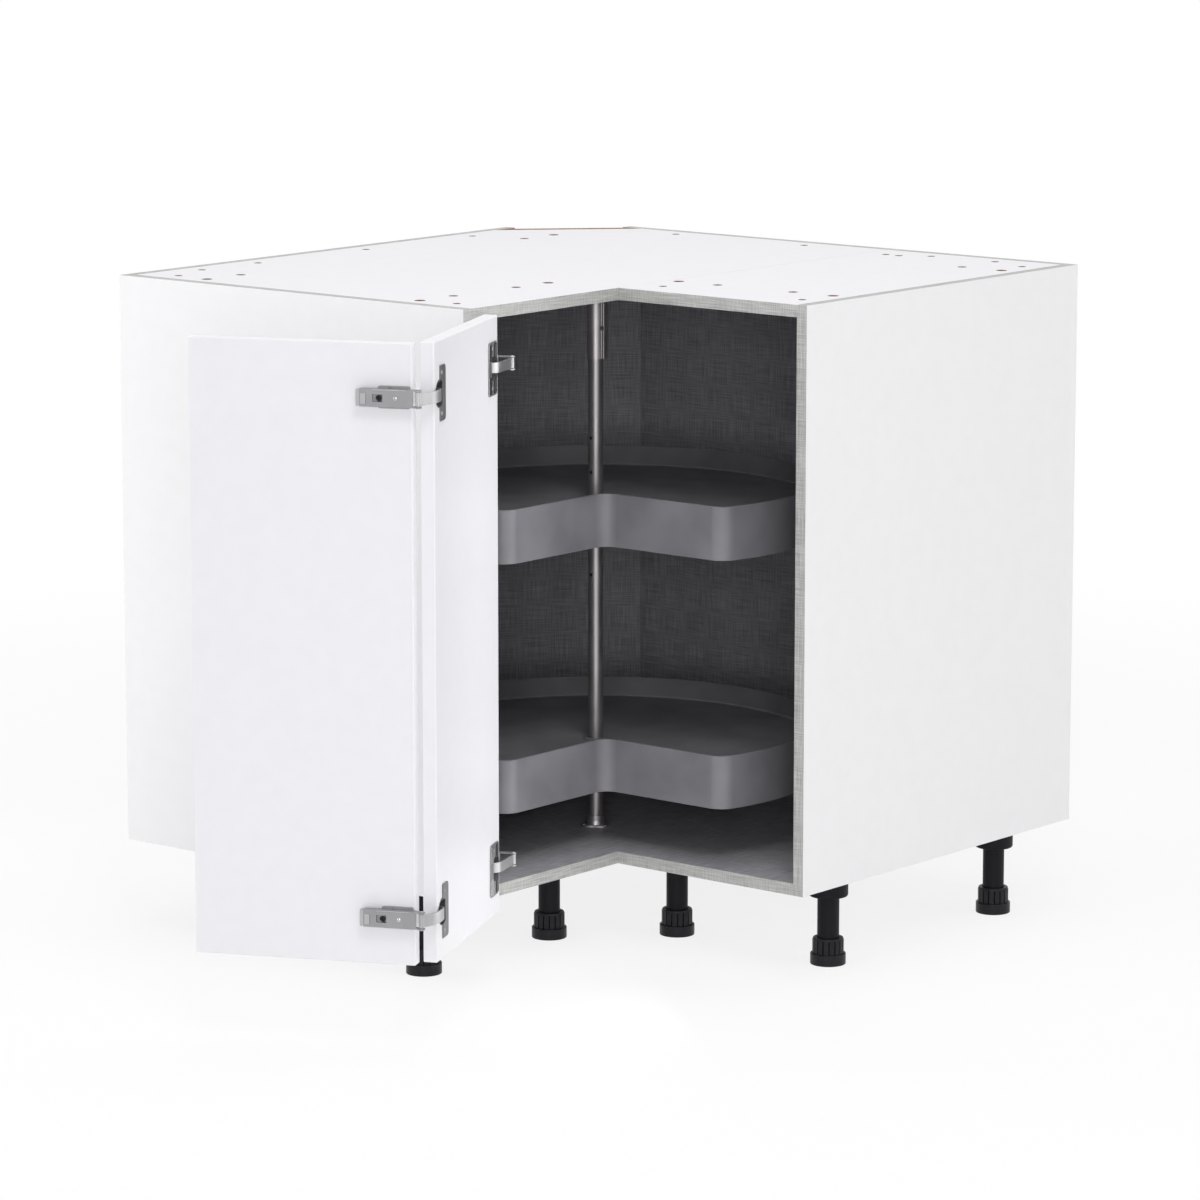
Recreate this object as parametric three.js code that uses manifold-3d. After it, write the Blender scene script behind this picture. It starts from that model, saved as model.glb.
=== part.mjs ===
// Corner carousel cabinet: an L-shaped base cabinet for a kitchen corner, with a
// two-leaf folding door, two notched round trays on a pole and seven legs.
//
// Everything is modelled in plan coordinates: the room corner is x = 0, y = 0,
// the right-hand wall runs along +X, the left-hand wall along -Y, and +Z is up
// from the floor. The whole group is moved at the end, so that the origin is the
// centre of the underside of the foot in the room corner. Millimetres.
//
// The doors are drawn where they are when shut, inside groups that turn them to
// the open position in which the cabinet stands.

import * as THREE from 'three';
import { mergeVertices } from 'three/addons/utils/BufferGeometryUtils.js';
import Module from 'manifold-3d';

// ---------------------------------------------------------------- dimensions

// Carcass
const RUN = 914;                 // length along each wall
const DEPTH = 606;               // wall to front edge, without the door
const CARCASS_H = 768;
const BOARD = 16;                // thickness of every carcass board
const CORNER_FACE = 182;         // inner face of the corner back: x + |y|
const LEFT_BACK_END = 121;       // where the left back stops, from the room corner
const RIGHT_BACK_END = 131;      // where the right back stops
const SEAT = 0.3;                // gap between pieces that lie against each other

// Holes in the boards
const LEG_HOLE_R = 6;
const LEG_HOLE_DEEP = 11;
const SPARE_HOLE_R = 5;          // second leg-plate hole
const SPARE_HOLE_PITCH = 65;
const FIXING_R = 4;              // connector holes round the top
const FIXING_DEEP = 12;
const FIXING_INSET = 28;         // from the face of the panel that it pulls up to
const SEAM_FIXING_INSET = 34;
const LEFT_FIXINGS = [247, 473, 692, 801];
const RIGHT_FIXINGS = [252, 482, 701, 808];
const MAIN_END_FIXINGS = [67, 557];
const WING_END_FIXINGS = [69, 558];
const SEAM_FIXINGS = [66, 556];
const EXTRA_SEAM_FIXING = 22;    // a second hole beside the back one

// Legs
const LEG_H = 114;
const LEG_FRONT_INSET = 107;     // leg axis from a wing's front edge
const LEG_END_INSET = 39;        // from an end panel's outer face
const LEG_BACK_INSET = 124;      // from the wall
const LEG_CORNER_INSET = 15;     // inner-corner legs, past the front line
const CORNER_LEG_X = 123;
const CORNER_LEG_Y = -161;
const LEG_FLANGE_R = 26;
const LEG_FLANGE_H = 17;
const LEG_FLANGE_EDGE = 6;
const LEG_NECK_R = 21;
const LEG_TUBE_R = 14.5;
const LEG_TUBE_WALL = 3.5;
const LEG_ROOF = 12;             // solid plastic above the spindle's bore
const PLUG_CLEAR = 0.3;
const FOOT_R = 23.5;
const FOOT_DISC_H = 14.7;
const FOOT_EDGE = 2;
const COLLAR_R = 20.4;
const COLLAR_H = 21;
const COLLAR_RIBS = 14;
const RIB_DEEP = 1.1;
const COLLAR_CLEAR = 0.5;        // collar and spindle round and inside the tube
const COLLAR_FLOOR = 5;
const SPINDLE_TOP = 92;
const TUBE_ENTRY = 11;           // how far the tube reaches down into the collar

// Door leaves
const LEAF_T = 18;
const LEAF_GAP = 2;              // leaf to front edge of the carcass
const REVEAL = 1.5;              // leaf edge to outer face of the end panel
const CORNER_SETBACK = 23.5;     // leaf edge to the other wing's front line
const LEAF_TOP_GAP = 3;          // below the carcass top
const LEAF_DROP = 1;             // below the carcass bottom
const DOOR_OPEN = 155;           // degrees from shut, as it stands
const DOOR_AXIS_X = 26.7;        // turning axis from the outer front corner
const DOOR_AXIS_Y = -0.8;
const HINGE_UP = 59;             // lower hinges' centre above the carcass bottom
const HINGE_DOWN = 68;           // upper hinges' centre below the carcass top

// Hinge cups (all four pairs are alike)
const CUP_BORE_R = 17.5;
const CUP_BORE_DEEP = 12;
const CUP_INSET = 22;            // cup centre from the leaf's edge
const CUP_CLEAR = 0.3;
const CUP_WALL = 1.2;
const CUP_LIP_R = 18.8;
const CUP_BAND = 10;             // cover band starts here, from the cup centre
const WING_H = 68;
const WING_T = 1.2;
const WING_NEAR = 14;            // wing edge from the cup centre, towards the leaf edge
const WING_FAR = 23;
const WING_ROUND = 5;
const CUP_PIN_X = 1.4;           // pin from the cup centre, away from the leaf edge
const CUP_PIN_DEEP = 5.5;
const CUP_SCREW_X = 6;
const CUP_SCREW_Z = 25;

// Pins and sheet metal of the hinges
const PIN_R = 1.6;
const PIN_CLEAR = 0.3;
const SHEET = 1.5;
const FORK_IN = 7.2;             // inner face of the fork link's plates
const CHEEK_IN = 9.3;            // inner face of the arm's cheeks
const PLATE_T = 3;
const HEAD_R = 2.7;              // rivet heads
const HEAD_H = 0.8;
const SCREW_HOLE_R = 2;          // holes for the fixing screws

// Cabinet hinge, from the outer front corner of the left end panel
const ARM_PIN_X = -1.9;
const ARM_PIN_Y = 24;
const LINK_L = 48.9;             // arm pin to knuckle
const LEVER_L = 58.4;            // cup pin to knuckle
const LINK_R = 4;
const LINK_WEB_FROM = 14;
const LINK_WEB_TO = 30;
const LEVER_HALF = 6.5;
const LEVER_T = 2;
const LEVER_CRANK = 6.9;         // how far the lever bows round the leaf's edge
const BOW_NEAR = 0.8;            // share of that bow right beside the cup pin
const BOW_MIDDLE = 0.7;          // share of the bow half way along
const BOW_END_AT = 0.77;         // share of the length where it runs out
const BOW_END = 0.3;             // share of the bow left there
const EYE_R = 3.3;
const ARM_BACK = -72;
const ARM_TOP = 29;
const ARM_NOSE_R = 5;
const ARM_WEB_END = -10;
const ARM_TAPER = 30;
const ARM_TAIL_H = 24.5;
const PLATE_FROM = -75;
const PLATE_TO = -20;
const PLATE_HALF = 9;
const EAR_X = -46;
const EAR_R = 7.5;
const EAR_Z = 17;

// Bi-fold hinge, from the inner edge of leaf B
const FOLD_PIN_OUT = 11.5;       // pin beyond the leaf's edge
const FOLD_PIN_UP = 12;          // pin above the leaf's inner face
const FOLD_LINK_HALF = 7.5;
const FOLD_EYE_HALF = 8.5;
const FOLD_LINK_RISE = 4.6;      // top of the bend over leaf A's inner face
const RISE_NEAR = 0.75;          // share of that rise beside the cup pin
const RISE_PAST = 0.95;          // share of it just past the leaf's edge
const FALL_AT = 0.55;            // share of the way out where the fall begins
const FALL_RISE = 0.35;          // share of the rise left there
const LAND_AT = 0.85;            // share of the way out, near the fold pin
const LAND_DROP = 0.45;          // share of the pin's depth reached there
const FOLD_ARM_END = 62;
const FOLD_ARM_TOP = 13.8;
const FOLD_ARM_WEB_START = -5;
const FOLD_NOSE_R = 4.5;
const FOLD_TAB = 5;
const FOLD_TAB_HALF = 5;
const FOLD_PLATE_FROM = 1.5;
const FOLD_PLATE_TO = 42;
const FOLD_PLATE_HALF = 18;
const FOLD_RAIL_INSET = 6;
const FOLD_RAIL_HALF = 7;
const FOLD_RAIL_TOP = 9;
const FOLD_SCREW_X = 26;
const FOLD_SCREW_Z = 14.4;

// Pole
const POLE_X = 482;
const POLE_Y = -502.5;
const POLE_R = 10;
const POLE_WALL = 1.5;
const POLE_TOP_GAP = 12;
const SLEEVE_WALL = 1;
const SLEEVE_DROP = 113.2;       // sleeve's lower end below the carcass top
const CLAMP_REACH = 7.4;         // clamp flanges beyond the sleeve
const CLAMP_SLOT = 3.2;
const CLAMP_T = 2.1;
const CLAMP_SCREW_DROP = 71;     // clamp screw below the carcass top
const CLAMP_SCREW_OUT = 3.6;
const CLAMP_HEAD_R = 3.1;
const CLAMP_HEAD_H = 1.6;
const POLE_HOLE_R = 2.4;
const POLE_HOLE_PITCH = 46.4;
const HOLES_ABOVE = 3;           // spare holes above the upper tray's support pin
const HOLES_BELOW = 1;
const RUN_CLEAR = 0.4;           // tube in sleeve, trays round the tube
const BASE_R = 21;
const BASE_LOBE = 2.5;
const BASE_LOBES = 3;
const BASE_T = 3;
const BASE_COLLAR_R = 13;
const BASE_COLLAR_H = 16;
const BASE_SCREW_R = 16.8;
const CAP_R = 24;
const CAP_T = 2.5;
const CAP_SPIGOT_H = 24;

// Trays
const TRAY_R = 303;
const NOTCH = 92.6;              // notch faces from the pole
const NOTCH_ROUND = 20;
const LOBE_ROUND = 25;
const TRAY_H = 71;
const TRAY_WALL = 3;
const TRAY_RIM_UP = 27.6;        // floor to rim
const TRAY_TOPS = [164, 493.5];  // rim heights above the carcass bottom
const HUB_R = 17;
const HUB_RISE = 3;
const HUB_SHORT = 4;             // hub ends this much above the skirt's edge
const TRAY_RIBS = 7;
const RIB_T = 2.5;
const RIB_H = 22;
const RIB_SPREAD = 270;          // the ribs fan out over this angle, clear of the notch
const BEARING_R = 16;
const BEARING_H = 14.8;
const SUPPORT_PIN_R = 2;
const SUPPORT_PIN_OUT = 6;       // beyond the tube at each end

// Facets of round forms
const FINE = 18;
const MEDIUM = 14;
const SMALL = 8;
const CORNER = 3;                // steps of a small quarter round

// ---------------------------------------------------------------- derived sizes

const LEAF_W = RUN - DEPTH - REVEAL - CORNER_SETBACK;
const LEAF_H = CARCASS_H - LEAF_TOP_GAP + LEAF_DROP;
const HINGE_HEIGHTS = [HINGE_UP, CARCASS_H - HINGE_DOWN];
const INNER_RUN = RUN - BOARD;
const SLEEVE_R = POLE_R + RUN_CLEAR + SLEEVE_WALL;
const CLAMP_SCREW_Z = CARCASS_H - CLAMP_SCREW_DROP;
const LEG_TUBE_BORE = LEG_TUBE_R - LEG_TUBE_WALL;
const COLLAR_TOP = FOOT_DISC_H + COLLAR_H;
const PIN_HOLE_R = PIN_R + PIN_CLEAR;
const CUP_R = CUP_BORE_R - CUP_CLEAR;
const CUP_IN_R = CUP_R - CUP_WALL;
const FORK_OUT = FORK_IN + SHEET;
const CHEEK_OUT = CHEEK_IN + SHEET;
const BEHIND = 1;                // overrun of cutting tools

const HIP = Math.PI / 2;
const rad = THREE.MathUtils.degToRad;
const vec = (x, y) => new THREE.Vector2(x, y);

const FINISHES = {
  board: { color: 0xf2f1f4, roughness: 0.45, metalness: 0 },
  back: { color: 0xe6e6ea, roughness: 0.5, metalness: 0 },
  leaf: { color: 0xf6f6f4, roughness: 0.35, metalness: 0 },
  blackPlastic: { color: 0x2a292d, roughness: 0.5, metalness: 0 },
  greyPlastic: { color: 0x7c7b80, roughness: 0.35, metalness: 0 },
  nickel: { color: 0xa5a5a9, roughness: 0.3, metalness: 1 },
  chrome: { color: 0xc4c4cc, roughness: 0.12, metalness: 1 },
};

// ---------------------------------------------------------------- solid tools

const wasm = await Module();
wasm.setup();

function toSolid(geometry) {
  const bare = geometry.clone();
  bare.deleteAttribute('normal');
  bare.deleteAttribute('uv');
  const welded = mergeVertices(bare);
  const mesh = new wasm.Mesh({
    numProp: 3,
    vertProperties: new Float32Array(welded.attributes.position.array),
    triVerts: new Uint32Array(welded.index.array),
  });
  return new wasm.Manifold(mesh);
}

function toGeometry(solid) {
  const mesh = solid.getMesh();
  const geometry = new THREE.BufferGeometry();
  geometry.setAttribute('position', new THREE.BufferAttribute(mesh.vertProperties, 3));
  geometry.setIndex(new THREE.BufferAttribute(mesh.triVerts, 1));
  return geometry;
}

// Joins and cuts: each argument is a geometry, or a list of them.
function combine(added, removed = []) {
  let solid = toSolid(added[0]);
  for (const geometry of added.slice(1)) {
    solid = solid.add(toSolid(geometry));
  }
  for (const geometry of removed) {
    solid = solid.subtract(toSolid(geometry));
  }
  return toGeometry(solid);
}

// A box between two corners.
function box(x0, x1, y0, y1, z0, z1) {
  const geometry = new THREE.BoxGeometry(x1 - x0, y1 - y0, z1 - z0);
  return geometry.translate((x0 + x1) / 2, (y0 + y1) / 2, (z0 + z1) / 2);
}

// A shape in XY, raised from z0 to z1.
function raise(shape, z0, z1, curveSegments = SMALL) {
  const depth = z1 - z0;
  const geometry = new THREE.ExtrudeGeometry(shape, { depth, bevelEnabled: false, curveSegments });
  return geometry.translate(0, 0, z0);
}

// A shape drawn in XZ, with its thickness from y0 to y1.
function plate(shape, y0, y1, curveSegments = SMALL) {
  const geometry = raise(shape, -y1, -y0, curveSegments);
  return geometry.rotateX(HIP);
}

// A round bar along Z.
function bar(radius, x, y, z0, z1, facets = MEDIUM) {
  const geometry = new THREE.CylinderGeometry(radius, radius, z1 - z0, facets);
  return geometry.rotateX(HIP).translate(x, y, (z0 + z1) / 2);
}

// A round bar along Y.
function barY(radius, x, z, y0, y1, facets = SMALL) {
  const geometry = new THREE.CylinderGeometry(radius, radius, y1 - y0, facets);
  return geometry.translate(x, (y0 + y1) / 2, z);
}

// A profile of [radius, height] pairs from the top of the axis down to its foot,
// turned about Z.
function turned(profile, facets) {
  const points = profile.map(([radius, height]) => vec(radius, height)).reverse();
  return new THREE.LatheGeometry(points, facets).rotateX(HIP);
}

function polygon(points) {
  return new THREE.Shape(points.map(([x, y]) => vec(x, y)));
}

function roundedRectangle(x0, x1, y0, y1, round) {
  const shape = new THREE.Shape();
  shape.moveTo(x0 + round, y0);
  shape.absarc(x1 - round, y0 + round, round, -HIP, 0);
  shape.absarc(x1 - round, y1 - round, round, 0, HIP);
  shape.absarc(x0 + round, y1 - round, round, HIP, 2 * HIP);
  shape.absarc(x0 + round, y0 + round, round, 2 * HIP, 3 * HIP);
  return shape;
}

// A strip of even thickness along a smooth line through the given points.
function strip(points, thickness, steps) {
  const line = new THREE.SplineCurve(points.map(([x, y]) => vec(x, y)));
  const near = [];
  const far = [];
  for (let i = 0; i <= steps; i += 1) {
    const centre = line.getPoint(i / steps);
    const along = line.getTangent(i / steps);
    const across = vec(-along.y, along.x).multiplyScalar(thickness / 2);
    near.push(centre.clone().sub(across));
    far.unshift(centre.clone().add(across));
  }
  return new THREE.Shape(near.concat(far));
}

// ---------------------------------------------------------------- scene tools

const cabinet = new THREE.Group();

function group(parent, x = 0, y = 0, z = 0, turn = 0) {
  const made = new THREE.Group();
  made.position.set(x, y, z);
  made.rotation.z = rad(turn);
  parent.add(made);
  return made;
}

function put(parent, name, finish, geometry) {
  const mesh = new THREE.Mesh(geometry, new THREE.MeshStandardMaterial(FINISHES[finish]));
  mesh.name = name;
  parent.add(mesh);
  return mesh;
}

// The point at the given distances from two others, on the left of the line a-b.
function meeting(a, fromA, b, fromB) {
  const span = a.distanceTo(b);
  const along = (fromA ** 2 - fromB ** 2 + span ** 2) / (2 * span);
  const aside = Math.sqrt(fromA ** 2 - along ** 2);
  const unit = b.clone().sub(a).divideScalar(span);
  return vec(
    a.x + unit.x * along - unit.y * aside,
    a.y + unit.y * along + unit.x * aside,
  );
}

function angleOf(from, to) {
  return THREE.MathUtils.radToDeg(Math.atan2(to.y - from.y, to.x - from.x));
}

// ---------------------------------------------------------------- legs' places

// Each leg's axis, and the side on which its spare hole lies.
const ALONG = DEPTH - LEG_FRONT_INSET;
const END = RUN - LEG_END_INSET;
const LEGS = [
  { name: 'left_front', x: ALONG, y: -END, spareX: 0, spareY: 1 },
  { name: 'left_inner', x: ALONG, y: -(DEPTH + LEG_CORNER_INSET), spareX: 0, spareY: -1 },
  { name: 'right_inner', x: DEPTH + LEG_CORNER_INSET, y: -ALONG, spareX: 1, spareY: 0 },
  { name: 'right_front', x: END, y: -ALONG, spareX: -1, spareY: 0 },
  { name: 'right_back', x: END, y: -LEG_BACK_INSET, spareX: -1, spareY: 0 },
  { name: 'left_back', x: LEG_BACK_INSET, y: -END, spareX: 0, spareY: 1 },
  { name: 'corner', x: CORNER_LEG_X, y: CORNER_LEG_Y, spareX: 0, spareY: -1 },
];

// ---------------------------------------------------------------- carcass

const carcass = group(cabinet, 0, 0, LEG_H);

// The outline of the main and wing halves of the top and the bottom. The main
// half is cut across its back corner to meet the corner back panel.
function mainOutline() {
  const cut = CORNER_FACE + SEAT * Math.SQRT2;
  return polygon([
    [BOARD, -INNER_RUN],
    [DEPTH, -INNER_RUN],
    [DEPTH, -BOARD],
    [cut - BOARD, -BOARD],
    [BOARD, -(cut - BOARD)],
  ]);
}

function wingOutline() {
  return polygon([
    [DEPTH, -DEPTH],
    [INNER_RUN, -DEPTH],
    [INNER_RUN, -BOARD],
    [DEPTH, -BOARD],
  ]);
}

// Blind holes in the top's upper face.
function topHoles(onWing) {
  const top = CARCASS_H + BEHIND;
  const holes = [];
  const isHere = (x) => (x > DEPTH) === onWing;
  const drill = (radius, x, y, deep) => {
    if (isHere(x)) {
      holes.push(bar(radius, x, y, CARCASS_H - deep, top, SMALL));
    }
  };
  for (const leg of LEGS) {
    drill(LEG_HOLE_R, leg.x, leg.y, LEG_HOLE_DEEP);
    const spareX = leg.x + leg.spareX * SPARE_HOLE_PITCH;
    const spareY = leg.y + leg.spareY * SPARE_HOLE_PITCH;
    drill(SPARE_HOLE_R, spareX, spareY, LEG_HOLE_DEEP);
  }
  const fixing = (x, y) => drill(FIXING_R, x, y, FIXING_DEEP);
  const wallLine = BOARD + FIXING_INSET;
  const endLine = INNER_RUN - FIXING_INSET;
  LEFT_FIXINGS.forEach((run) => fixing(wallLine, -run));
  RIGHT_FIXINGS.forEach((run) => fixing(run, -wallLine));
  MAIN_END_FIXINGS.forEach((run) => fixing(run, -endLine));
  WING_END_FIXINGS.forEach((run) => fixing(endLine, -run));
  SEAM_FIXINGS.forEach((run) => fixing(DEPTH + SEAM_FIXING_INSET, -run));
  fixing(DEPTH + SEAM_FIXING_INSET + EXTRA_SEAM_FIXING, -SEAM_FIXINGS[0]);
  return holes;
}

// Blind holes under the bottom for the legs' plugs.
function plugHoles(onWing) {
  const here = LEGS.filter((leg) => (leg.x > DEPTH) === onWing);
  return here.map((leg) => bar(LEG_HOLE_R, leg.x, leg.y, -BEHIND, LEG_HOLE_DEEP, MEDIUM));
}

function boardUnderTop(outline, holes) {
  return combine([raise(outline, CARCASS_H - BOARD, CARCASS_H)], holes);
}

// ---------------------------------------------------------------- cups

// Hinge cup, drawn with its centre at the origin, the leaf's inner face at y = 0,
// the room side towards +Y, and the leaf's near edge towards -X.
function cup() {
  const top = CUP_CLEAR + WING_T;
  const floor = CUP_CLEAR - CUP_BORE_DEEP;
  const shell = turned([
    [0, floor + CUP_WALL],
    [CUP_IN_R, floor + CUP_WALL],
    [CUP_IN_R, top],
    [CUP_LIP_R, top],
    [CUP_LIP_R, CUP_CLEAR],
    [CUP_R, CUP_CLEAR],
    [CUP_R, floor],
    [0, floor],
  ], FINE).rotateX(-HIP);
  const wing = roundedRectangle(-WING_NEAR, WING_FAR, -WING_H / 2, WING_H / 2, WING_ROUND);
  const mouth = barY(CUP_IN_R + CUP_WALL, 0, 0, 0, top + BEHIND, FINE);
  const holes = [-1, 1].map((side) => (
    barY(SCREW_HOLE_R, CUP_SCREW_X, side * CUP_SCREW_Z, 0, top + BEHIND)
  ));
  const wings = combine([plate(wing, CUP_CLEAR, top, CORNER)], [mouth, ...holes]);
  const bandHalf = Math.sqrt(CUP_R ** 2 - CUP_BAND ** 2);
  const band = box(CUP_BAND, CUP_R, CUP_CLEAR, top, -bandHalf, bandHalf);
  const pinReach = CUP_R - CUP_WALL / 2;
  const pin = bar(PIN_R, -CUP_PIN_X, -CUP_PIN_DEEP, -pinReach, pinReach, SMALL);
  return combine([shell, wings, band, pin]);
}

function cupBore(x, height) {
  return barY(CUP_BORE_R, x, height, -CUP_BORE_DEEP, BEHIND, FINE);
}

// ---------------------------------------------------------------- cabinet hinge

// These are drawn in plan, from the outer front corner of the left end panel,
// with the hinge's middle height at z = 0.
const PLATE_Y = BOARD + SEAT;
const ARM_Y = PLATE_Y + PLATE_T + SEAT;

function mountingPlate() {
  const body = roundedRectangle(PLATE_FROM, PLATE_TO, -PLATE_HALF, PLATE_HALF, SHEET);
  const ears = roundedRectangle(EAR_X - EAR_R, EAR_X + EAR_R, -EAR_Z - EAR_R, EAR_Z + EAR_R, EAR_R);
  const top = PLATE_Y + PLATE_T;
  const holes = [-1, 1].map((side) => (
    barY(SCREW_HOLE_R, EAR_X, side * EAR_Z, PLATE_Y - BEHIND, top + BEHIND)
  ));
  const solids = [body, ears].map((outline) => plate(outline, PLATE_Y, top, CORNER));
  return combine(solids, holes);
}

// A channel with its web on the mounting plate and its nose round the arm pin.
function hingeArm() {
  const side = new THREE.Shape();
  side.moveTo(ARM_BACK, ARM_Y);
  side.lineTo(ARM_PIN_X - ARM_NOSE_R, ARM_Y);
  side.absarc(ARM_PIN_X, ARM_PIN_Y, ARM_NOSE_R, -HIP, HIP);
  side.lineTo(-ARM_TAPER, ARM_TOP);
  side.lineTo(ARM_BACK, ARM_TAIL_H);
  const webTop = ARM_Y + SHEET;
  const trough = box(ARM_BACK - BEHIND, ARM_NOSE_R, webTop, ARM_TOP + BEHIND, -CHEEK_IN, CHEEK_IN);
  const nose = box(ARM_WEB_END, ARM_NOSE_R, 0, ARM_TOP, -CHEEK_IN, CHEEK_IN);
  const pinHole = bar(PIN_HOLE_R, ARM_PIN_X, ARM_PIN_Y, -CHEEK_OUT - BEHIND, CHEEK_OUT + BEHIND);
  return combine([raise(side, -CHEEK_OUT, CHEEK_OUT)], [trough, nose, pinHole]);
}

// Fork link: arm pin at the origin, knuckle at x = LINK_L.
function forkLink() {
  const outline = new THREE.Shape();
  outline.absarc(LINK_L, 0, LINK_R, -HIP, HIP);
  outline.absarc(0, 0, LINK_R, HIP, 3 * HIP);
  const web = box(LINK_WEB_FROM, LINK_WEB_TO, LINK_R - SHEET, LINK_R, -FORK_OUT, FORK_OUT);
  const solids = [web];
  for (const side of [-1, 1]) {
    const [low, high] = side < 0 ? [-FORK_OUT, -FORK_IN] : [FORK_IN, FORK_OUT];
    const headZ = side * (CHEEK_OUT + PIN_CLEAR);
    const pinEnds = [side * FORK_IN, headZ].sort((a, b) => a - b);
    const headEnds = [headZ, headZ + side * HEAD_H].sort((a, b) => a - b);
    const rivetEnds = [side * FORK_IN, side * (FORK_OUT + HEAD_H)].sort((a, b) => a - b);
    solids.push(raise(outline, low, high, 2 * CORNER));
    solids.push(bar(PIN_R, 0, 0, ...pinEnds, SMALL));
    solids.push(bar(HEAD_R, 0, 0, ...headEnds, SMALL));
    solids.push(bar(HEAD_R, LINK_L, 0, ...rivetEnds, SMALL));
  }
  return combine(solids);
}

// Cranked lever: cup pin at the origin, knuckle eye at x = LEVER_L. It bows
// towards -Y, round the edge of the leaf.
function crankedLever() {
  const line = [
    [0, 0],
    [LEVER_CRANK, -LEVER_CRANK * BOW_NEAR],
    [LEVER_L / 4, -LEVER_CRANK],
    [LEVER_L / 2, -LEVER_CRANK * BOW_MIDDLE],
    [LEVER_L * BOW_END_AT, -LEVER_CRANK * BOW_END],
    [LEVER_L, 0],
  ];
  const leaf = raise(strip(line, LEVER_T, SMALL), -LEVER_HALF, LEVER_HALF);
  const eyes = [0, LEVER_L].map((x) => bar(EYE_R, x, 0, -LEVER_HALF, LEVER_HALF, MEDIUM));
  const reach = LEVER_HALF + BEHIND;
  const bores = [0, LEVER_L].map((x) => bar(PIN_HOLE_R, x, 0, -reach, reach, SMALL));
  return combine([leaf, ...eyes], bores);
}

// ---------------------------------------------------------------- bi-fold hinge

// These are drawn in leaf B's own frame: x runs from its hinged edge along the
// leaf, y = 0 is its inner face, and the hinge's middle height is z = 0.
function foldPlate() {
  const low = SEAT;
  const high = SEAT + PLATE_T;
  const half = FOLD_PLATE_HALF;
  const outline = roundedRectangle(FOLD_PLATE_FROM, FOLD_PLATE_TO, -half, half, PLATE_T);
  const base = plate(outline, low, high, CORNER);
  const railTo = FOLD_PLATE_TO - FOLD_RAIL_INSET;
  const railFrom = FOLD_PLATE_FROM + FOLD_RAIL_INSET;
  const rail = box(railFrom, railTo, low, FOLD_RAIL_TOP, -FOLD_RAIL_HALF, FOLD_RAIL_HALF);
  const holes = [-1, 1].map((side) => (
    barY(SCREW_HOLE_R, FOLD_SCREW_X, side * FOLD_SCREW_Z, -BEHIND, high + BEHIND)
  ));
  return combine([base, rail], holes);
}

function foldArm() {
  const foot = PLATE_T + 2 * SEAT;
  const side = new THREE.Shape();
  side.moveTo(FOLD_ARM_END, foot);
  side.lineTo(FOLD_ARM_END, FOLD_ARM_TOP);
  side.lineTo(FOLD_ARM_WEB_START, FOLD_ARM_TOP);
  side.absarc(-FOLD_PIN_OUT, FOLD_PIN_UP, FOLD_NOSE_R, HIP, 3 * HIP);
  side.lineTo(0, foot);
  const back = -FOLD_PIN_OUT - FOLD_NOSE_R - BEHIND;
  const roof = FOLD_ARM_TOP - SHEET;
  const trough = box(back, FOLD_ARM_END - SHEET, 0, roof, -CHEEK_IN, CHEEK_IN);
  const above = FOLD_PIN_UP + FOLD_NOSE_R + BEHIND;
  const nose = box(back, FOLD_ARM_WEB_START, 0, above, -CHEEK_IN, CHEEK_IN);
  const reach = CHEEK_OUT + BEHIND;
  const pinHole = bar(PIN_HOLE_R, -FOLD_PIN_OUT, FOLD_PIN_UP, -reach, reach);
  const tabEnd = FOLD_ARM_END + FOLD_TAB;
  const tab = box(FOLD_ARM_END - SHEET, tabEnd, roof - FOLD_TAB, roof, -FOLD_TAB_HALF, FOLD_TAB_HALF);
  return combine([raise(side, -CHEEK_OUT, CHEEK_OUT), tab], [trough, nose, pinHole]);
}

// The link from leaf A's cup round its edge to the fold pin, in leaf A's frame
// with the leaf's far inner edge at the origin.
const FOLD_PIN_X = CORNER_SETBACK - LEAF_GAP + FOLD_PIN_UP;
const FOLD_PIN_Y = FOLD_PIN_OUT - (CORNER_SETBACK - LEAF_GAP);

function foldLink() {
  const cupPin = [CUP_PIN_X - CUP_INSET, -CUP_PIN_DEEP];
  const line = [
    cupPin,
    [cupPin[0] + EYE_R + LEVER_T, FOLD_LINK_RISE * RISE_NEAR],
    [-EYE_R * 2, FOLD_LINK_RISE],
    [EYE_R * 2, FOLD_LINK_RISE * RISE_PAST],
    [FOLD_PIN_X * FALL_AT, FOLD_LINK_RISE * FALL_RISE],
    [FOLD_PIN_X * LAND_AT, FOLD_PIN_Y * LAND_DROP],
    [FOLD_PIN_X, FOLD_PIN_Y],
  ];
  const blade = raise(strip(line, LEVER_T, SMALL + CORNER), -FOLD_LINK_HALF, FOLD_LINK_HALF);
  const eye = bar(EYE_R, ...cupPin, -FOLD_LINK_HALF, FOLD_LINK_HALF, MEDIUM);
  const knuckle = bar(EYE_R, FOLD_PIN_X, FOLD_PIN_Y, -FOLD_EYE_HALF, FOLD_EYE_HALF, MEDIUM);
  const pinReach = CHEEK_OUT + PIN_CLEAR;
  const pin = bar(PIN_R, FOLD_PIN_X, FOLD_PIN_Y, -pinReach, pinReach, SMALL);
  const heads = [-1, 1].map((side) => {
    const ends = [side * pinReach, side * (pinReach + HEAD_H)].sort((a, b) => a - b);
    return bar(HEAD_R, FOLD_PIN_X, FOLD_PIN_Y, ...ends, SMALL);
  });
  const reach = FOLD_LINK_HALF + BEHIND;
  const bore = bar(PIN_HOLE_R, ...cupPin, -reach, reach, SMALL);
  return combine([blade, eye, knuckle, pin, ...heads], [bore]);
}

// ---------------------------------------------------------------- build: carcass

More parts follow.
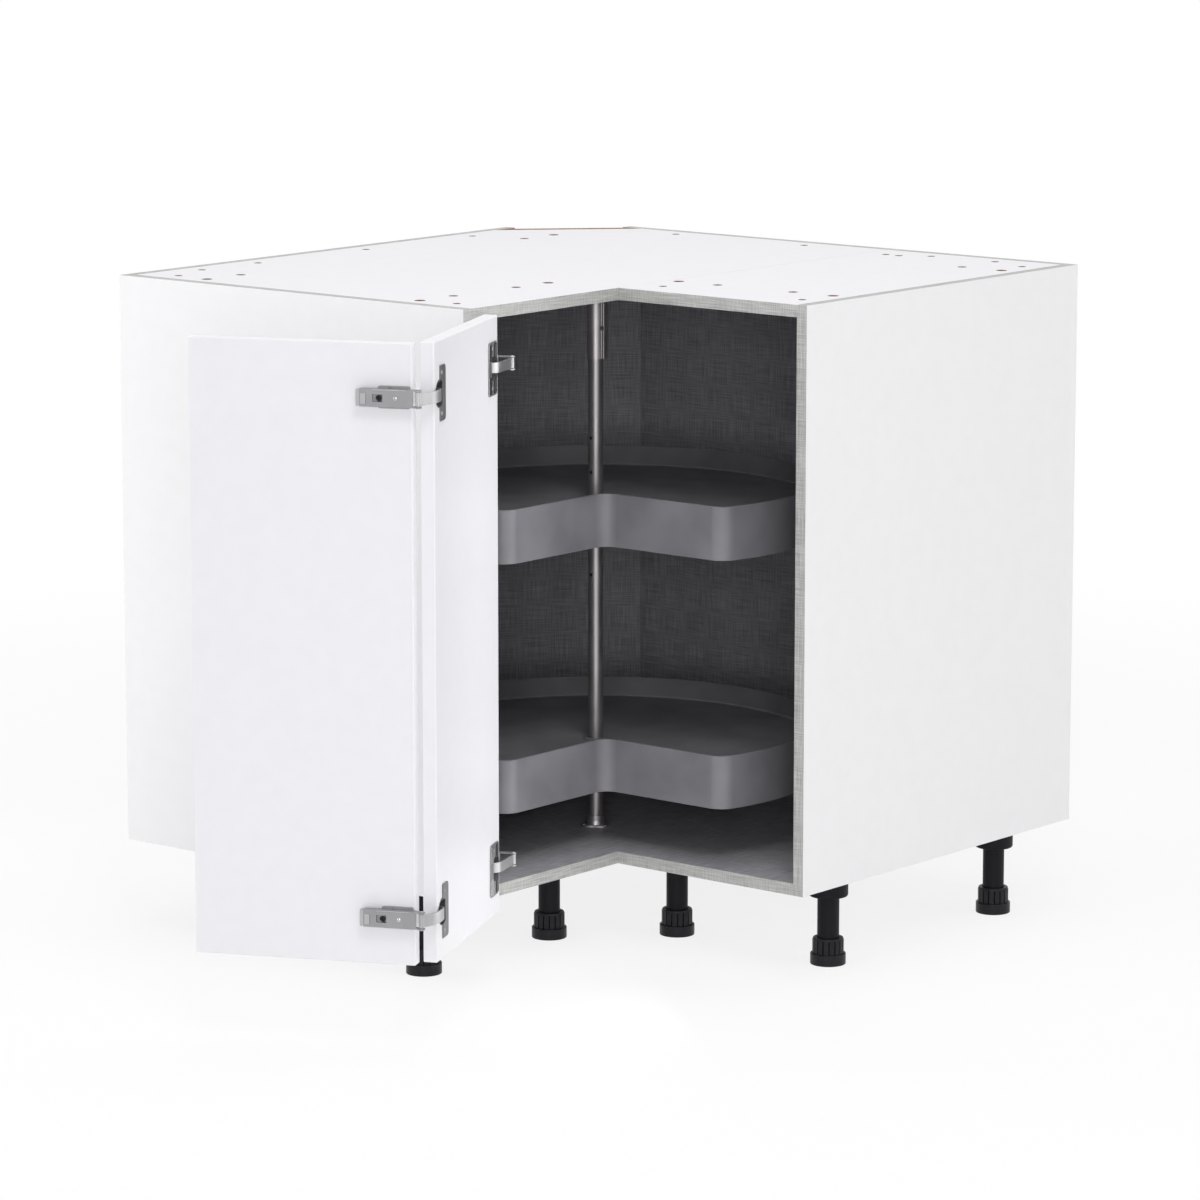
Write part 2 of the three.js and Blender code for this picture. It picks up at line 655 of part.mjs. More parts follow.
put(carcass, 'left_end_panel', 'board', box(0, DEPTH, -RUN, -INNER_RUN, 0, CARCASS_H));
put(carcass, 'right_end_panel', 'board', box(INNER_RUN, RUN, -DEPTH, 0, 0, CARCASS_H));
put(carcass, 'top_board_main', 'board', boardUnderTop(mainOutline(), topHoles(false)));
put(carcass, 'top_board_wing', 'board', boardUnderTop(wingOutline(), topHoles(true)));

const mainBottom = combine([raise(mainOutline(), 0, BOARD)], plugHoles(false));
const wingBottom = combine([raise(wingOutline(), 0, BOARD)], plugHoles(true));
put(carcass, 'bottom_board_main', 'board', mainBottom);
put(carcass, 'bottom_board_wing', 'board', wingBottom);

const leftBack = box(0, BOARD, -INNER_RUN, -LEFT_BACK_END, 0, CARCASS_H);
const rightBack = box(RIGHT_BACK_END, INNER_RUN, -BOARD, 0, 0, CARCASS_H);
put(carcass, 'back_panel_left', 'back', leftBack);
put(carcass, 'back_panel_right', 'back', rightBack);

// The corner back's ends are mitred to lie against the other two backs.
const mitre = BOARD + SEAT;
const outerFace = CORNER_FACE - BOARD * Math.SQRT2;
const cornerBack = raise(polygon([
  [mitre, -(CORNER_FACE - mitre)],
  [CORNER_FACE - mitre, -mitre],
  [outerFace - mitre, -mitre],
  [mitre, -(outerFace - mitre)],
]), 0, CARCASS_H);
put(carcass, 'back_panel_corner', 'back', cornerBack);

// ---------------------------------------------------------------- build: legs

function legSocket() {
  const plugR = LEG_HOLE_R - PLUG_CLEAR;
  const plugTop = LEG_H + LEG_HOLE_DEEP - PLUG_CLEAR;
  const flangeFoot = LEG_H - LEG_FLANGE_H;
  const tubeFoot = COLLAR_TOP - TUBE_ENTRY;
  return turned([
    [0, plugTop],
    [plugR, plugTop],
    [plugR, LEG_H],
    [LEG_FLANGE_R, LEG_H],
    [LEG_FLANGE_R, LEG_H - LEG_FLANGE_EDGE],
    [LEG_NECK_R, flangeFoot],
    [LEG_TUBE_R, flangeFoot],
    [LEG_TUBE_R, tubeFoot],
    [LEG_TUBE_BORE, tubeFoot],
    [LEG_TUBE_BORE, LEG_H - LEG_ROOF],
    [0, LEG_H - LEG_ROOF],
  ], MEDIUM);
}

// Disc and ribbed collar, with the spindle that runs up inside the tube.
function levellingFoot() {
  const disc = turned([
    [0, FOOT_DISC_H],
    [FOOT_R - FOOT_EDGE, FOOT_DISC_H],
    [FOOT_R, FOOT_DISC_H - FOOT_EDGE],
    [FOOT_R, FOOT_EDGE],
    [FOOT_R - FOOT_EDGE, 0],
    [0, 0],
  ], MEDIUM);
  const ribs = new THREE.Shape();
  for (let i = 0; i < 2 * COLLAR_RIBS; i += 1) {
    const radius = i % 2 ? COLLAR_R : COLLAR_R - RIB_DEEP;
    const angle = (Math.PI * i) / COLLAR_RIBS;
    const point = vec(radius * Math.cos(angle), radius * Math.sin(angle));
    if (i === 0) {
      ribs.moveTo(point.x, point.y);
    } else {
      ribs.lineTo(point.x, point.y);
    }
  }
  const collar = raise(ribs, FOOT_DISC_H - FOOT_EDGE, COLLAR_TOP);
  const floor = COLLAR_TOP - TUBE_ENTRY - COLLAR_FLOOR;
  const well = bar(LEG_TUBE_R + COLLAR_CLEAR, 0, 0, floor, COLLAR_TOP + BEHIND);
  const hollow = combine([disc, collar], [well]);
  const spindle = bar(LEG_TUBE_BORE - COLLAR_CLEAR, 0, 0, floor - BEHIND, SPINDLE_TOP, SMALL);
  return combine([hollow, spindle]);
}

for (const leg of LEGS) {
  const place = group(cabinet, leg.x, leg.y);
  put(place, `leg_socket_${leg.name}`, 'blackPlastic', legSocket());
  put(place, `leg_foot_${leg.name}`, 'blackPlastic', levellingFoot());
}

// ---------------------------------------------------------------- build: pole

const pole = group(carcass, POLE_X, POLE_Y);
// Each tray rests on a bearing collar, and the collar on a pin through the tube.
const hubFoot = (rim) => rim - TRAY_H + HUB_SHORT;
const bearingFoot = (rim) => hubFoot(rim) - SEAT - BEARING_H;
const pinHeight = (rim) => bearingFoot(rim) - SEAT - SUPPORT_PIN_R;

function poleTube() {
  const foot = BOARD + SEAT;
  const head = CARCASS_H - BOARD - POLE_TOP_GAP;
  const bore = bar(POLE_R - POLE_WALL, 0, 0, foot - BEHIND, head + BEHIND, MEDIUM);
  const drilled = TRAY_TOPS.map(pinHeight);
  const upperPin = Math.max(...drilled);
  for (let i = -HOLES_BELOW; i <= HOLES_ABOVE; i += 1) {
    if (i !== 0) {
      drilled.push(upperPin + i * POLE_HOLE_PITCH);
    }
  }
  const holes = drilled.map((z) => (
    barY(POLE_HOLE_R, 0, 0, -POLE_R - BEHIND, POLE_R + BEHIND, SMALL)
      .rotateZ(HIP)
      .translate(0, 0, z)
  ));
  return combine([bar(POLE_R, 0, 0, foot, head, MEDIUM)], [bore, ...holes]);
}

// A split tube with two flanges that one screw pulls together.
function poleSleeve() {
  const inner = POLE_R + RUN_CLEAR;
  const half = CLAMP_SLOT / 2;
  const outside = half + CLAMP_T;
  const reach = SLEEVE_R + CLAMP_REACH;
  const outerAngle = Math.asin(outside / SLEEVE_R);
  const innerAngle = Math.asin(half / inner);
  const shape = new THREE.Shape();
  shape.moveTo(reach, outside);
  shape.absarc(0, 0, SLEEVE_R, outerAngle, 2 * Math.PI - outerAngle);
  shape.lineTo(reach, -outside);
  shape.lineTo(reach, -half);
  shape.absarc(0, 0, inner, 2 * Math.PI - innerAngle, innerAngle, true);
  shape.lineTo(reach, half);
  const head = CARCASS_H - BOARD - 2 * SEAT - CAP_T;
  const body = raise(shape, CARCASS_H - SLEEVE_DROP, head, MEDIUM);
  const x = SLEEVE_R + CLAMP_SCREW_OUT;
  return combine([body], [barY(PIN_HOLE_R, x, CLAMP_SCREW_Z, -SLEEVE_R, SLEEVE_R)]);
}

function clampScrew() {
  const outside = CLAMP_SLOT / 2 + CLAMP_T + PIN_CLEAR;
  const x = SLEEVE_R + CLAMP_SCREW_OUT;
  const shank = barY(PIN_R, x, CLAMP_SCREW_Z, -outside, outside);
  const head = barY(CLAMP_HEAD_R, x, CLAMP_SCREW_Z, -outside - CLAMP_HEAD_H, -outside);
  const nut = barY(CLAMP_HEAD_R, x, CLAMP_SCREW_Z, outside, outside + CLAMP_HEAD_H, 6);
  return combine([shank, head, nut]);
}

// Lobed flange with a flared collar round the foot of the tube.
function baseFlange() {
  const points = [];
  for (let i = 0; i < FINE; i += 1) {
    const angle = (2 * Math.PI * i) / FINE;
    const radius = BASE_R - BASE_LOBE + BASE_LOBE * Math.cos(BASE_LOBES * angle);
    points.push([radius * Math.cos(angle), radius * Math.sin(angle)]);
  }
  const foot = BOARD + SEAT;
  const top = foot + BASE_COLLAR_H;
  const flange = raise(polygon(points), foot, foot + BASE_T);
  const collar = turned([
    [0, top],
    [POLE_R + RUN_CLEAR + POLE_WALL, top],
    [BASE_COLLAR_R - POLE_WALL / 2, foot + BASE_COLLAR_H / 2],
    [BASE_COLLAR_R, foot + BASE_T],
    [BASE_COLLAR_R, foot],
    [0, foot],
  ], FINE);
  const bore = bar(POLE_R + RUN_CLEAR, 0, 0, foot - BEHIND, top + BEHIND, FINE);
  const holes = [];
  for (let i = 0; i < BASE_LOBES; i += 1) {
    const hole = bar(SCREW_HOLE_R, BASE_SCREW_R, 0, foot - BEHIND, foot + BASE_T + BEHIND, SMALL);
    holes.push(hole.rotateZ((2 * Math.PI * i) / BASE_LOBES));
  }
  return combine([flange, collar], [bore, ...holes]);
}

function topFixing() {
  const top = CARCASS_H - BOARD - SEAT;
  const spigotR = POLE_R - POLE_WALL - RUN_CLEAR;
  return turned([
    [0, top],
    [CAP_R, top],
    [CAP_R, top - CAP_T],
    [spigotR, top - CAP_T],
    [spigotR, top - CAP_T - CAP_SPIGOT_H],
    [0, top - CAP_T - CAP_SPIGOT_H],
  ], MEDIUM);
}

put(pole, 'pole_tube', 'chrome', poleTube());
put(pole, 'pole_sleeve', 'chrome', poleSleeve());
put(pole, 'pole_clamp_screw', 'nickel', clampScrew());
put(pole, 'pole_base_flange', 'chrome', baseFlange());
put(pole, 'pole_top_fixing', 'blackPlastic', topFixing());

// ---------------------------------------------------------------- build: trays

// Three quarters of a circle and a square notch for the door corner, all inset.
function trayOutline(inset) {
  const radius = TRAY_R - inset;
  const face = NOTCH - inset;
  const lobe = LOBE_ROUND - inset;
  const notch = NOTCH_ROUND + inset;
  const lobeNear = face - lobe;
  const lobeFar = Math.sqrt((radius - lobe) ** 2 - lobeNear ** 2);
  const lobeAngle = Math.atan2(lobeFar, lobeNear);
  const shape = new THREE.Shape();
  const wide = new THREE.EllipseCurve(0, 0, radius, radius, lobeAngle - HIP, 2 * Math.PI - lobeAngle);
  shape.setFromPoints(wide.getPoints(2 * FINE));
  const arc = (x, y, r, from, to, clockwise) => {
    const curve = new THREE.EllipseCurve(x, y, r, r, from, to, clockwise);
    curve.getPoints(SMALL / 2).forEach((point) => shape.lineTo(point.x, point.y));
  };
  arc(lobeNear, -lobeFar, lobe, -lobeAngle, 0, false);
  arc(face + notch, -face - notch, notch, 2 * HIP, HIP, true);
  arc(lobeFar, -lobeNear, lobe, -HIP, lobeAngle - HIP, false);
  return shape;
}

function tray(rim) {
  const floorTop = rim - TRAY_RIM_UP;
  const floorFoot = floorTop - TRAY_WALL;
  const skirtFoot = rim - TRAY_H;
  const outer = raise(trayOutline(0), skirtFoot, rim);
  const dish = raise(trayOutline(TRAY_WALL), floorTop, rim + BEHIND);
  const under = raise(trayOutline(TRAY_WALL), skirtFoot - BEHIND, floorFoot);
  const shell = combine([outer], [dish, under]);
  const hub = bar(HUB_R, 0, 0, hubFoot(rim), floorTop + HUB_RISE, FINE);
  const ribs = [];
  for (let i = 0; i < TRAY_RIBS; i += 1) {
    const reach = TRAY_R - TRAY_WALL;
    const rib = box(HUB_R / 2, reach, -RIB_T / 2, RIB_T / 2, floorFoot - RIB_H, floorFoot);
    ribs.push(rib.rotateZ(rad(RIB_SPREAD * i) / (TRAY_RIBS - 1)));
  }
  const bore = bar(POLE_R + RUN_CLEAR, 0, 0, skirtFoot - BEHIND, rim, FINE);
  return combine([shell, hub, ...ribs], [bore]);
}

function bearingCollar(rim) {
  const foot = bearingFoot(rim);
  const body = bar(BEARING_R, 0, 0, foot, foot + BEARING_H, MEDIUM);
  const bore = bar(POLE_R + RUN_CLEAR, 0, 0, foot - BEHIND, foot + BEARING_H + BEHIND, MEDIUM);
  return combine([body], [bore]);
}

function supportPin(rim) {
  const reach = POLE_R + SUPPORT_PIN_OUT;
  return barY(SUPPORT_PIN_R, 0, 0, -reach, reach).rotateZ(HIP).translate(0, 0, pinHeight(rim));
}

TRAY_TOPS.forEach((rim, level) => {
  const name = ['lower', 'upper'][level];
  put(pole, `tray_${name}`, 'greyPlastic', tray(rim));
  put(pole, `bearing_collar_${name}`, 'blackPlastic', bearingCollar(rim));
  put(pole, `support_pin_${name}`, 'nickel', supportPin(rim));
});

// ---------------------------------------------------------------- build: doors

// Leaf A turns about an upright axis beside the outer front corner. Inside its
// group the plan is that of the shut door.
const cornerX = DEPTH;
const cornerY = -RUN;
const axisX = cornerX + DOOR_AXIS_X;
const axisY = cornerY + DOOR_AXIS_Y;
const doorTurn = group(carcass, axisX, axisY, 0, -DOOR_OPEN);
const doorShut = group(doorTurn, -axisX, -axisY);

// Leaf A's frame: x from its hinged edge along the leaf, y towards the cabinet.
const leafAX = DEPTH + LEAF_GAP;
const leafAY = -RUN + REVEAL;
const leafA = group(doorShut, leafAX, leafAY, 0, 90);
const leafAFar = group(leafA, LEAF_W);

// Leaf B's frame: x from its hinged edge along the leaf, y towards the cabinet.
const leafB = group(doorShut, DEPTH + CORNER_SETBACK, -DEPTH - LEAF_GAP);

function leafBoard(cuts) {
  const top = CARCASS_H - LEAF_TOP_GAP;
  return combine([box(0, LEAF_W, -LEAF_T, 0, top - LEAF_H, top)], cuts);
}

const leafACuts = [];
const flip = (geometry) => geometry.rotateY(Math.PI);

HINGE_HEIGHTS.forEach((height, level) => {
  const name = ['lower', 'upper'][level];

  // On the carcass: plate, arm and fork link.
  const fixed = group(carcass, cornerX, cornerY, height);
  put(fixed, `hinge_plate_${name}`, 'nickel', mountingPlate());
  put(fixed, `hinge_arm_${name}`, 'nickel', hingeArm());

  // Where the two links meet, in plan from the outer front corner.
  const armPin = vec(ARM_PIN_X, ARM_PIN_Y);
  const shutPin = vec(LEAF_GAP + CUP_PIN_DEEP, REVEAL + CUP_INSET - CUP_PIN_X);
  const axis = vec(DOOR_AXIS_X, DOOR_AXIS_Y);
  const openPin = shutPin.clone().rotateAround(axis, -rad(DOOR_OPEN));
  const knuckle = meeting(armPin, LINK_L, openPin, LEVER_L);
  const linkTurn = group(fixed, armPin.x, armPin.y, 0, angleOf(armPin, knuckle));
  put(linkTurn, `hinge_link_${name}`, 'nickel', forkLink());

  // On leaf A: cabinet cup with the cranked lever, fold cup with its link.
  const nearCup = group(leafA, CUP_INSET, 0, height);
  put(nearCup, `hinge_cup_${name}`, 'nickel', cup());
  const leverAngle = angleOf(openPin, knuckle) + DOOR_OPEN - 90;
  const leverTurn = group(nearCup, -CUP_PIN_X, -CUP_PIN_DEEP, 0, leverAngle);
  put(leverTurn, `hinge_lever_${name}`, 'nickel', crankedLever());
  const farCup = group(leafAFar, -CUP_INSET, 0, height);
  put(farCup, `fold_cup_${name}`, 'nickel', flip(cup()));
  const foldLinkPlace = group(leafAFar, 0, 0, height);
  put(foldLinkPlace, `fold_link_${name}`, 'nickel', foldLink());

  leafACuts.push(cupBore(CUP_INSET, height), cupBore(LEAF_W - CUP_INSET, height));

  // On leaf B: plate and arm.
  const foldPlace = group(leafB, 0, 0, height);
  put(foldPlace, `fold_plate_${name}`, 'nickel', foldPlate());
  put(foldPlace, `fold_arm_${name}`, 'nickel', foldArm());
});

put(leafA, 'door_leaf_a', 'leaf', leafBoard(leafACuts));
put(leafB, 'door_leaf_b', 'leaf', leafBoard([]));

// ---------------------------------------------------------------- origin

cabinet.position.set(-CORNER_LEG_X, -CORNER_LEG_Y, 0);
cabinet.updateMatrixWorld(true);

export default cabinet;
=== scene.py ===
from math import acos, asin, atan2, cos, hypot, pi, radians, sin, sqrt

import bmesh
import bpy
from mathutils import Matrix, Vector


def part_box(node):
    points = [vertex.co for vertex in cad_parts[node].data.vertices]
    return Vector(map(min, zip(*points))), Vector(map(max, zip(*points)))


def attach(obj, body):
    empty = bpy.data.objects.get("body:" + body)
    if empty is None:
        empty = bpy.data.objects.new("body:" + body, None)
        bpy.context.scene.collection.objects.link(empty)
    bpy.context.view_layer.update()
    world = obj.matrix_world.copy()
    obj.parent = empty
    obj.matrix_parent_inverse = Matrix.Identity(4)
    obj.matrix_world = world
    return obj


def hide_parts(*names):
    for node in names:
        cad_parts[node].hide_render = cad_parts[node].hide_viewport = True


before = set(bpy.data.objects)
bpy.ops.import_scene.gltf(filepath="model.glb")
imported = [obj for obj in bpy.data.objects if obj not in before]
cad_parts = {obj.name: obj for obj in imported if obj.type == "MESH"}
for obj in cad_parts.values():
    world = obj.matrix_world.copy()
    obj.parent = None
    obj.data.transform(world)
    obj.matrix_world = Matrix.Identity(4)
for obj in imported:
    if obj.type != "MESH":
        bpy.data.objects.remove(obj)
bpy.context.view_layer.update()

# ---------------------------------------------------------------- the view
# The cabinet is seen from in front of its inner corner, a little above the worktop line, through
# a long lens.
EYE = (4.724, -5.629, 1.663)
TILT = radians(79.893)
TURN = radians(39.492)
LENS = 155.1

lens = bpy.data.cameras.new("camera")
lens.lens = LENS
lens.clip_end = 60
camera = bpy.data.objects.new("camera", lens)
camera.location = EYE
camera.rotation_euler = (TILT, 0, TURN)
bpy.context.scene.collection.objects.link(camera)
bpy.context.scene.camera = camera

# ---------------------------------------------------------------- end panels
# Two upright ends of 16 mm chipboard with a smooth white melamine face outside, a dark grey linen
# face inside, and pale linen edging ironed on all round.
LINEN_DARK = ((0.216, 0.212, 0.229), (0.384, 0.377, 0.403))
LINEN_PALE = ((0.355, 0.358, 0.346), (0.580, 0.585, 0.568))
THREAD = 700                     # threads to the metre
THREAD_RUN = 24                  # a thread's shade changes this often in a metre
BOARD_EASE = 0.0004
FACING, LYING = 0.9, 0.7         # least cosines for a face that looks a way, and that lies flat


def add_node(tree, kind, inputs=None, **settings):
    """One node. Each input is a socket to link or a number to set."""
    node = tree.nodes.new(kind)
    for name, value in settings.items():
        setattr(node, name, value)
    for socket, value in (inputs or {}).items():
        if isinstance(value, bpy.types.NodeSocket):
            tree.links.new(value, node.inputs[socket])
        else:
            node.inputs[socket].default_value = value
    return node


def new_material(name, colour, roughness, metallic=0.0, sheen=0.5):
    """A material with its node tree and its main shader. The sheen is the strength of its gloss."""
    material = bpy.data.materials.new(name)
    material.use_nodes = True
    tree = material.node_tree
    shader = tree.nodes["Principled BSDF"]
    shader.inputs["Base Color"].default_value = (*colour, 1)
    shader.inputs["Roughness"].default_value = roughness
    shader.inputs["Metallic"].default_value = metallic
    shader.inputs["Specular IOR Level"].default_value = sheen
    material.diffuse_color = (*colour, 1)
    return material, tree, shader


def noise(tree, scale, detail=2.0, stretch=(1, 1, 1), source="Object"):
    """Noise on the piece's own coordinates, drawn out along an axis by the stretch."""
    spot = add_node(tree, "ShaderNodeTexCoord").outputs[source]
    spot = add_node(tree, "ShaderNodeMapping", {"Vector": spot, "Scale": stretch}).outputs[0]
    texture = {"Vector": spot, "Scale": scale, "Detail": detail}
    return add_node(tree, "ShaderNodeTexNoise", texture).outputs["Fac"]


def sums(tree, operation, first, second):
    """One arithmetic node on two sockets or numbers."""
    inputs = {0: first, 1: second}
    return add_node(tree, "ShaderNodeMath", inputs, operation=operation).outputs[0]


def shades(tree, value, stops):
    """A colour ramp from (place, colour) stops."""
    ramp = add_node(tree, "ShaderNodeValToRGB", {"Fac": value})
    elements = ramp.color_ramp.elements
    while len(elements) < len(stops):
        elements.new(0.5)
    for element, (place, colour) in zip(elements, stops):
        element.position = place
        element.color = (*colour, 1)
    return ramp.outputs["Color"]


def relief(tree, shader, value, strength, depth):
    """Bumps the surface by a value, to a depth in metres."""
    height = {"Strength": strength, "Distance": depth, "Height": value}
    bump = add_node(tree, "ShaderNodeBump", height)
    tree.links.new(bump.outputs["Normal"], shader.inputs["Normal"])


def mottled(tree, shader, value, colour, low, high, ends=(0.35, 0.65)):
    """Lets the base colour wander between two shares of a colour."""
    tints = [tuple(min(1, c * share) for c in colour) for share in (low, high)]
    tree.links.new(shades(tree, value, list(zip(ends, tints))), shader.inputs["Base Color"])


def uneven(tree, shader, value, roughness, spread):
    """Lets the roughness wander about its middle."""
    gloss = sums(tree, "ADD", sums(tree, "MULTIPLY", value, spread), roughness - spread / 2)
    tree.links.new(gloss, shader.inputs["Roughness"])


def linen(name, colours, roughness):
    """Printed linen: fine threads along and across the board, pressed into the foil."""
    material, tree, shader = new_material(name, colours[1], roughness, sheen=0.25)
    along, across = (
        noise(tree, scale=1.0, detail=1.5, stretch=stretch, source="UV")
        for stretch in ((THREAD_RUN, THREAD, 1), (THREAD, THREAD_RUN, 1))
    )
    weave = sums(tree, "MULTIPLY", sums(tree, "ADD", along, across), 0.5)
    cloud = noise(tree, scale=9.0)
    threads = sums(tree, "MULTIPLY", weave, 0.9)
    shade = sums(tree, "ADD", threads, sums(tree, "MULTIPLY", cloud, 0.1))
    colour = shades(tree, shade, [(0.40, colours[0]), (0.60, colours[1])])
    tree.links.new(colour, shader.inputs["Base Color"])
    relief(tree, shader, weave, strength=0.4, depth=0.00012)
    return material


def melamine(name, colour, roughness, grain, sheen=0.5):
    """Smooth foil with a faint pearl skin, a trace of mottling and uneven gloss."""
    material, tree, shader = new_material(name, colour, roughness, sheen=sheen)
    mottle = noise(tree, scale=45.0, detail=4.0)
    mottled(tree, shader, mottle, colour, low=0.992, high=1.006)
    skin = noise(tree, scale=grain, detail=3.0)
    uneven(tree, shader, skin, roughness, spread=0.12)
    relief(tree, shader, skin, strength=0.25, depth=0.00008)
    return material


def add_piece(name, bm, materials):
    """Puts a finished mesh into the scene at the origin."""
    mesh = bpy.data.meshes.new(name)
    bm.to_mesh(mesh)
    bm.free()
    for material in materials:
        mesh.materials.append(material)
    piece = bpy.data.objects.new(name, mesh)
    bpy.context.scene.collection.objects.link(piece)
    return piece


def joined_up(node):
    """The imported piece's mesh with its loose triangles merged and its flat faces made whole."""
    bm = bmesh.new()
    bm.from_mesh(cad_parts[node].data)
    for layer in list(bm.loops.layers.uv.values()):
        bm.loops.layers.uv.remove(layer)
    bmesh.ops.remove_doubles(bm, verts=bm.verts, dist=2e-6)
    bmesh.ops.dissolve_limit(bm, angle_limit=radians(0.8), verts=bm.verts, edges=bm.edges)
    return bm


def ease(bm, width, steps=2, sharper_than=28.0):
    """Rounds over every edge that turns by more than an angle."""
    sharp = [
        e for e in bm.edges
        if len(e.link_faces) == 2 and e.calc_face_angle(0) > radians(sharper_than)
    ]
    bmesh.ops.bevel(
        bm, geom=sharp, offset=width, offset_type="OFFSET", segments=steps, profile=0.5,
        affect="EDGES", clamp_overlap=True,
    )


def evened(piece, name, kind, **settings):
    """Runs one modifier on a piece and keeps what it makes."""
    modifier = piece.modifiers.new(name, kind)
    for setting, value in settings.items():
        setattr(modifier, setting, value)
    depsgraph = bpy.context.evaluated_depsgraph_get()
    made = bpy.data.meshes.new_from_object(piece.evaluated_get(depsgraph), depsgraph=depsgraph)
    piece.modifiers.remove(modifier)
    piece.data = made
    return piece


def smooth(piece, sharper_than=38.0):
    """Shades smoothly but keeps the creases, and keeps the flat faces flat."""
    mesh = piece.data
    for name in ("custom_normal", "sharp_face"):
        if name in mesh.attributes:
            mesh.attributes.remove(mesh.attributes[name])
    mesh.shade_smooth()
    mesh.set_sharp_from_angle(angle=radians(sharper_than))
    return evened(piece, "flat_faces", "WEIGHTED_NORMAL", keep_sharp=True, weight=100)


def weave_map(bm):
    """Lays the linen's threads along and across each board, at full size."""
    layer = bm.loops.layers.uv.new("weave")
    for face in bm.faces:
        side = Vector((-face.normal.y, face.normal.x, 0))
        for loop in face.loops:
            spot = loop.vert.co
            if abs(face.normal.z) > LYING:
                loop[layer].uv = (spot.x, spot.y)
            else:
                loop[layer].uv = (spot.dot(side.normalized()), spot.z)


def stand_for(piece, body, slot, *nodes):
    """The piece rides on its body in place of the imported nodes."""
    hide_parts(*nodes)
    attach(piece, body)
    return piece


white_face = melamine("white_melamine", (0.85, 0.85, 0.86), roughness=0.42, grain=900.0)
dark_linen = linen("dark_linen", LINEN_DARK, roughness=0.55)
pale_linen = linen("pale_linen_edging", LINEN_PALE, roughness=0.5)
raw_board, raw_tree, raw_shader = new_material("raw_chipboard", (0.28, 0.16, 0.09), roughness=0.9)
chips = noise(raw_tree, scale=700.0, detail=4.0)
chip_colours = [(0.3, (0.07, 0.030, 0.014)), (0.5, (0.28, 0.135, 0.065)), (0.7, (0.52, 0.31, 0.17))]
raw_tree.links.new(shades(raw_tree, chips, chip_colours), raw_shader.inputs["Base Color"])
relief(raw_tree, raw_shader, chips, strength=0.9, depth=0.0006)

BOARD_FINISHES = [white_face, dark_linen, pale_linen, raw_board]
WHITE, LINEN, EDGING, RAW = range(4)


def faced(bm, outside, inside):
    """Gives each face of a board its foil. Outside and inside are directions."""
    weave_map(bm)
    for face in bm.faces:
        if face.normal.dot(outside) > FACING:
            face.material_index = WHITE
        elif face.normal.dot(inside) > FACING:
            face.material_index = LINEN
        else:
            face.material_index = EDGING


AXIS = {"+x": Vector((1, 0, 0)), "-x": Vector((-1, 0, 0)), "+y": Vector((0, 1, 0)),
        "-y": Vector((0, -1, 0)), "+z": Vector((0, 0, 1)), "-z": Vector((0, 0, -1))}


def panel(node, outside, inside):
    """A packed board with eased edges and its foils."""
    bm = joined_up(node)
    ease(bm, BOARD_EASE)
    bm.normal_update()
    faced(bm, AXIS[outside], AXIS[inside])
    return bm


for node, outside, inside in (("left_end_panel", "-y", "+y"), ("right_end_panel", "+x", "-x")):
    piece = smooth(add_piece(node + "_board", panel(node, outside, inside), BOARD_FINISHES))
    stand_for(piece, "carcass", "end_board", node)

# ---------------------------------------------------------------- tops and bottoms
# The top and the bottom are each two boards, the main half and the wing, with a tight seam. The
# white faces are outside. The top's upper face is drilled for the connectors and spare leg plates.
DRILL_SIDES = 32
CHIP, CHIP_DEEP = 1.5, 0.4       # the foil is chipped round a hole, in millimetres
SEAM = 0.35                      # the hairline that shows between the two top boards


def places(name, spots):
    """Loose points with the way that each faces, for a pattern to follow."""
    mesh = bpy.data.meshes.new(name)
    mesh.from_pydata([tuple(spot) for spot, _ in spots], [], [])
    facing = mesh.attributes.new("facing", "FLOAT_VECTOR", "POINT")
    for i, (_, way) in enumerate(spots):
        facing.data[i].vector = tuple(way)
    guide = bpy.data.objects.new(name, mesh)
    bpy.context.scene.collection.objects.link(guide)
    return guide


def new_pattern(name, sizes):
    """A node tree that sets a shape on points. It takes named sizes and a material."""
    tree = bpy.data.node_groups.new(name, "GeometryNodeTree")
    face = tree.interface
    face.new_socket(name="Points", in_out="INPUT", socket_type="NodeSocketGeometry")
    for size in sizes:
        face.new_socket(name=size, in_out="INPUT", socket_type="NodeSocketFloat")
    face.new_socket(name="Material", in_out="INPUT", socket_type="NodeSocketMaterial")
    face.new_socket(name="Geometry", in_out="OUTPUT", socket_type="NodeSocketGeometry")
    return tree, tree.nodes.new("NodeGroupInput").outputs


def vector(tree, x, y, z):
    """A vector from three sockets or numbers."""
    return add_node(tree, "ShaderNodeCombineXYZ", {0: x, 1: y, 2: z}).outputs[0]


def lifted(tree, shape, height):
    """A shape raised by a height."""
    inputs = {"Geometry": shape, "Translation": vector(tree, 0, 0, height)}
    return add_node(tree, "GeometryNodeTransform", inputs).outputs[0]


def set_on_points(tree, inputs, shape, axis="Z"):
    """The end of every pattern: the shape on each point, turned the way that the point faces."""
    way = add_node(tree, "GeometryNodeInputNamedAttribute", {"Name": "facing"},
                   data_type="FLOAT_VECTOR")
    facing = {"Vector": way.outputs["Attribute"]}
    turn = add_node(tree, "FunctionNodeAlignRotationToVector", facing, axis=axis)
    placed = {"Points": inputs["Points"], "Instance": shape, "Rotation": turn.outputs["Rotation"]}
    copies = add_node(tree, "GeometryNodeInstanceOnPoints", placed).outputs["Instances"]
    real = add_node(tree, "GeometryNodeRealizeInstances", {"Geometry": copies}).outputs["Geometry"]
    paint = {"Geometry": real, "Material": inputs["Material"]}
    painted = add_node(tree, "GeometryNodeSetMaterial", paint).outputs["Geometry"]
    add_node(tree, "NodeGroupOutput", {"Geometry": painted})


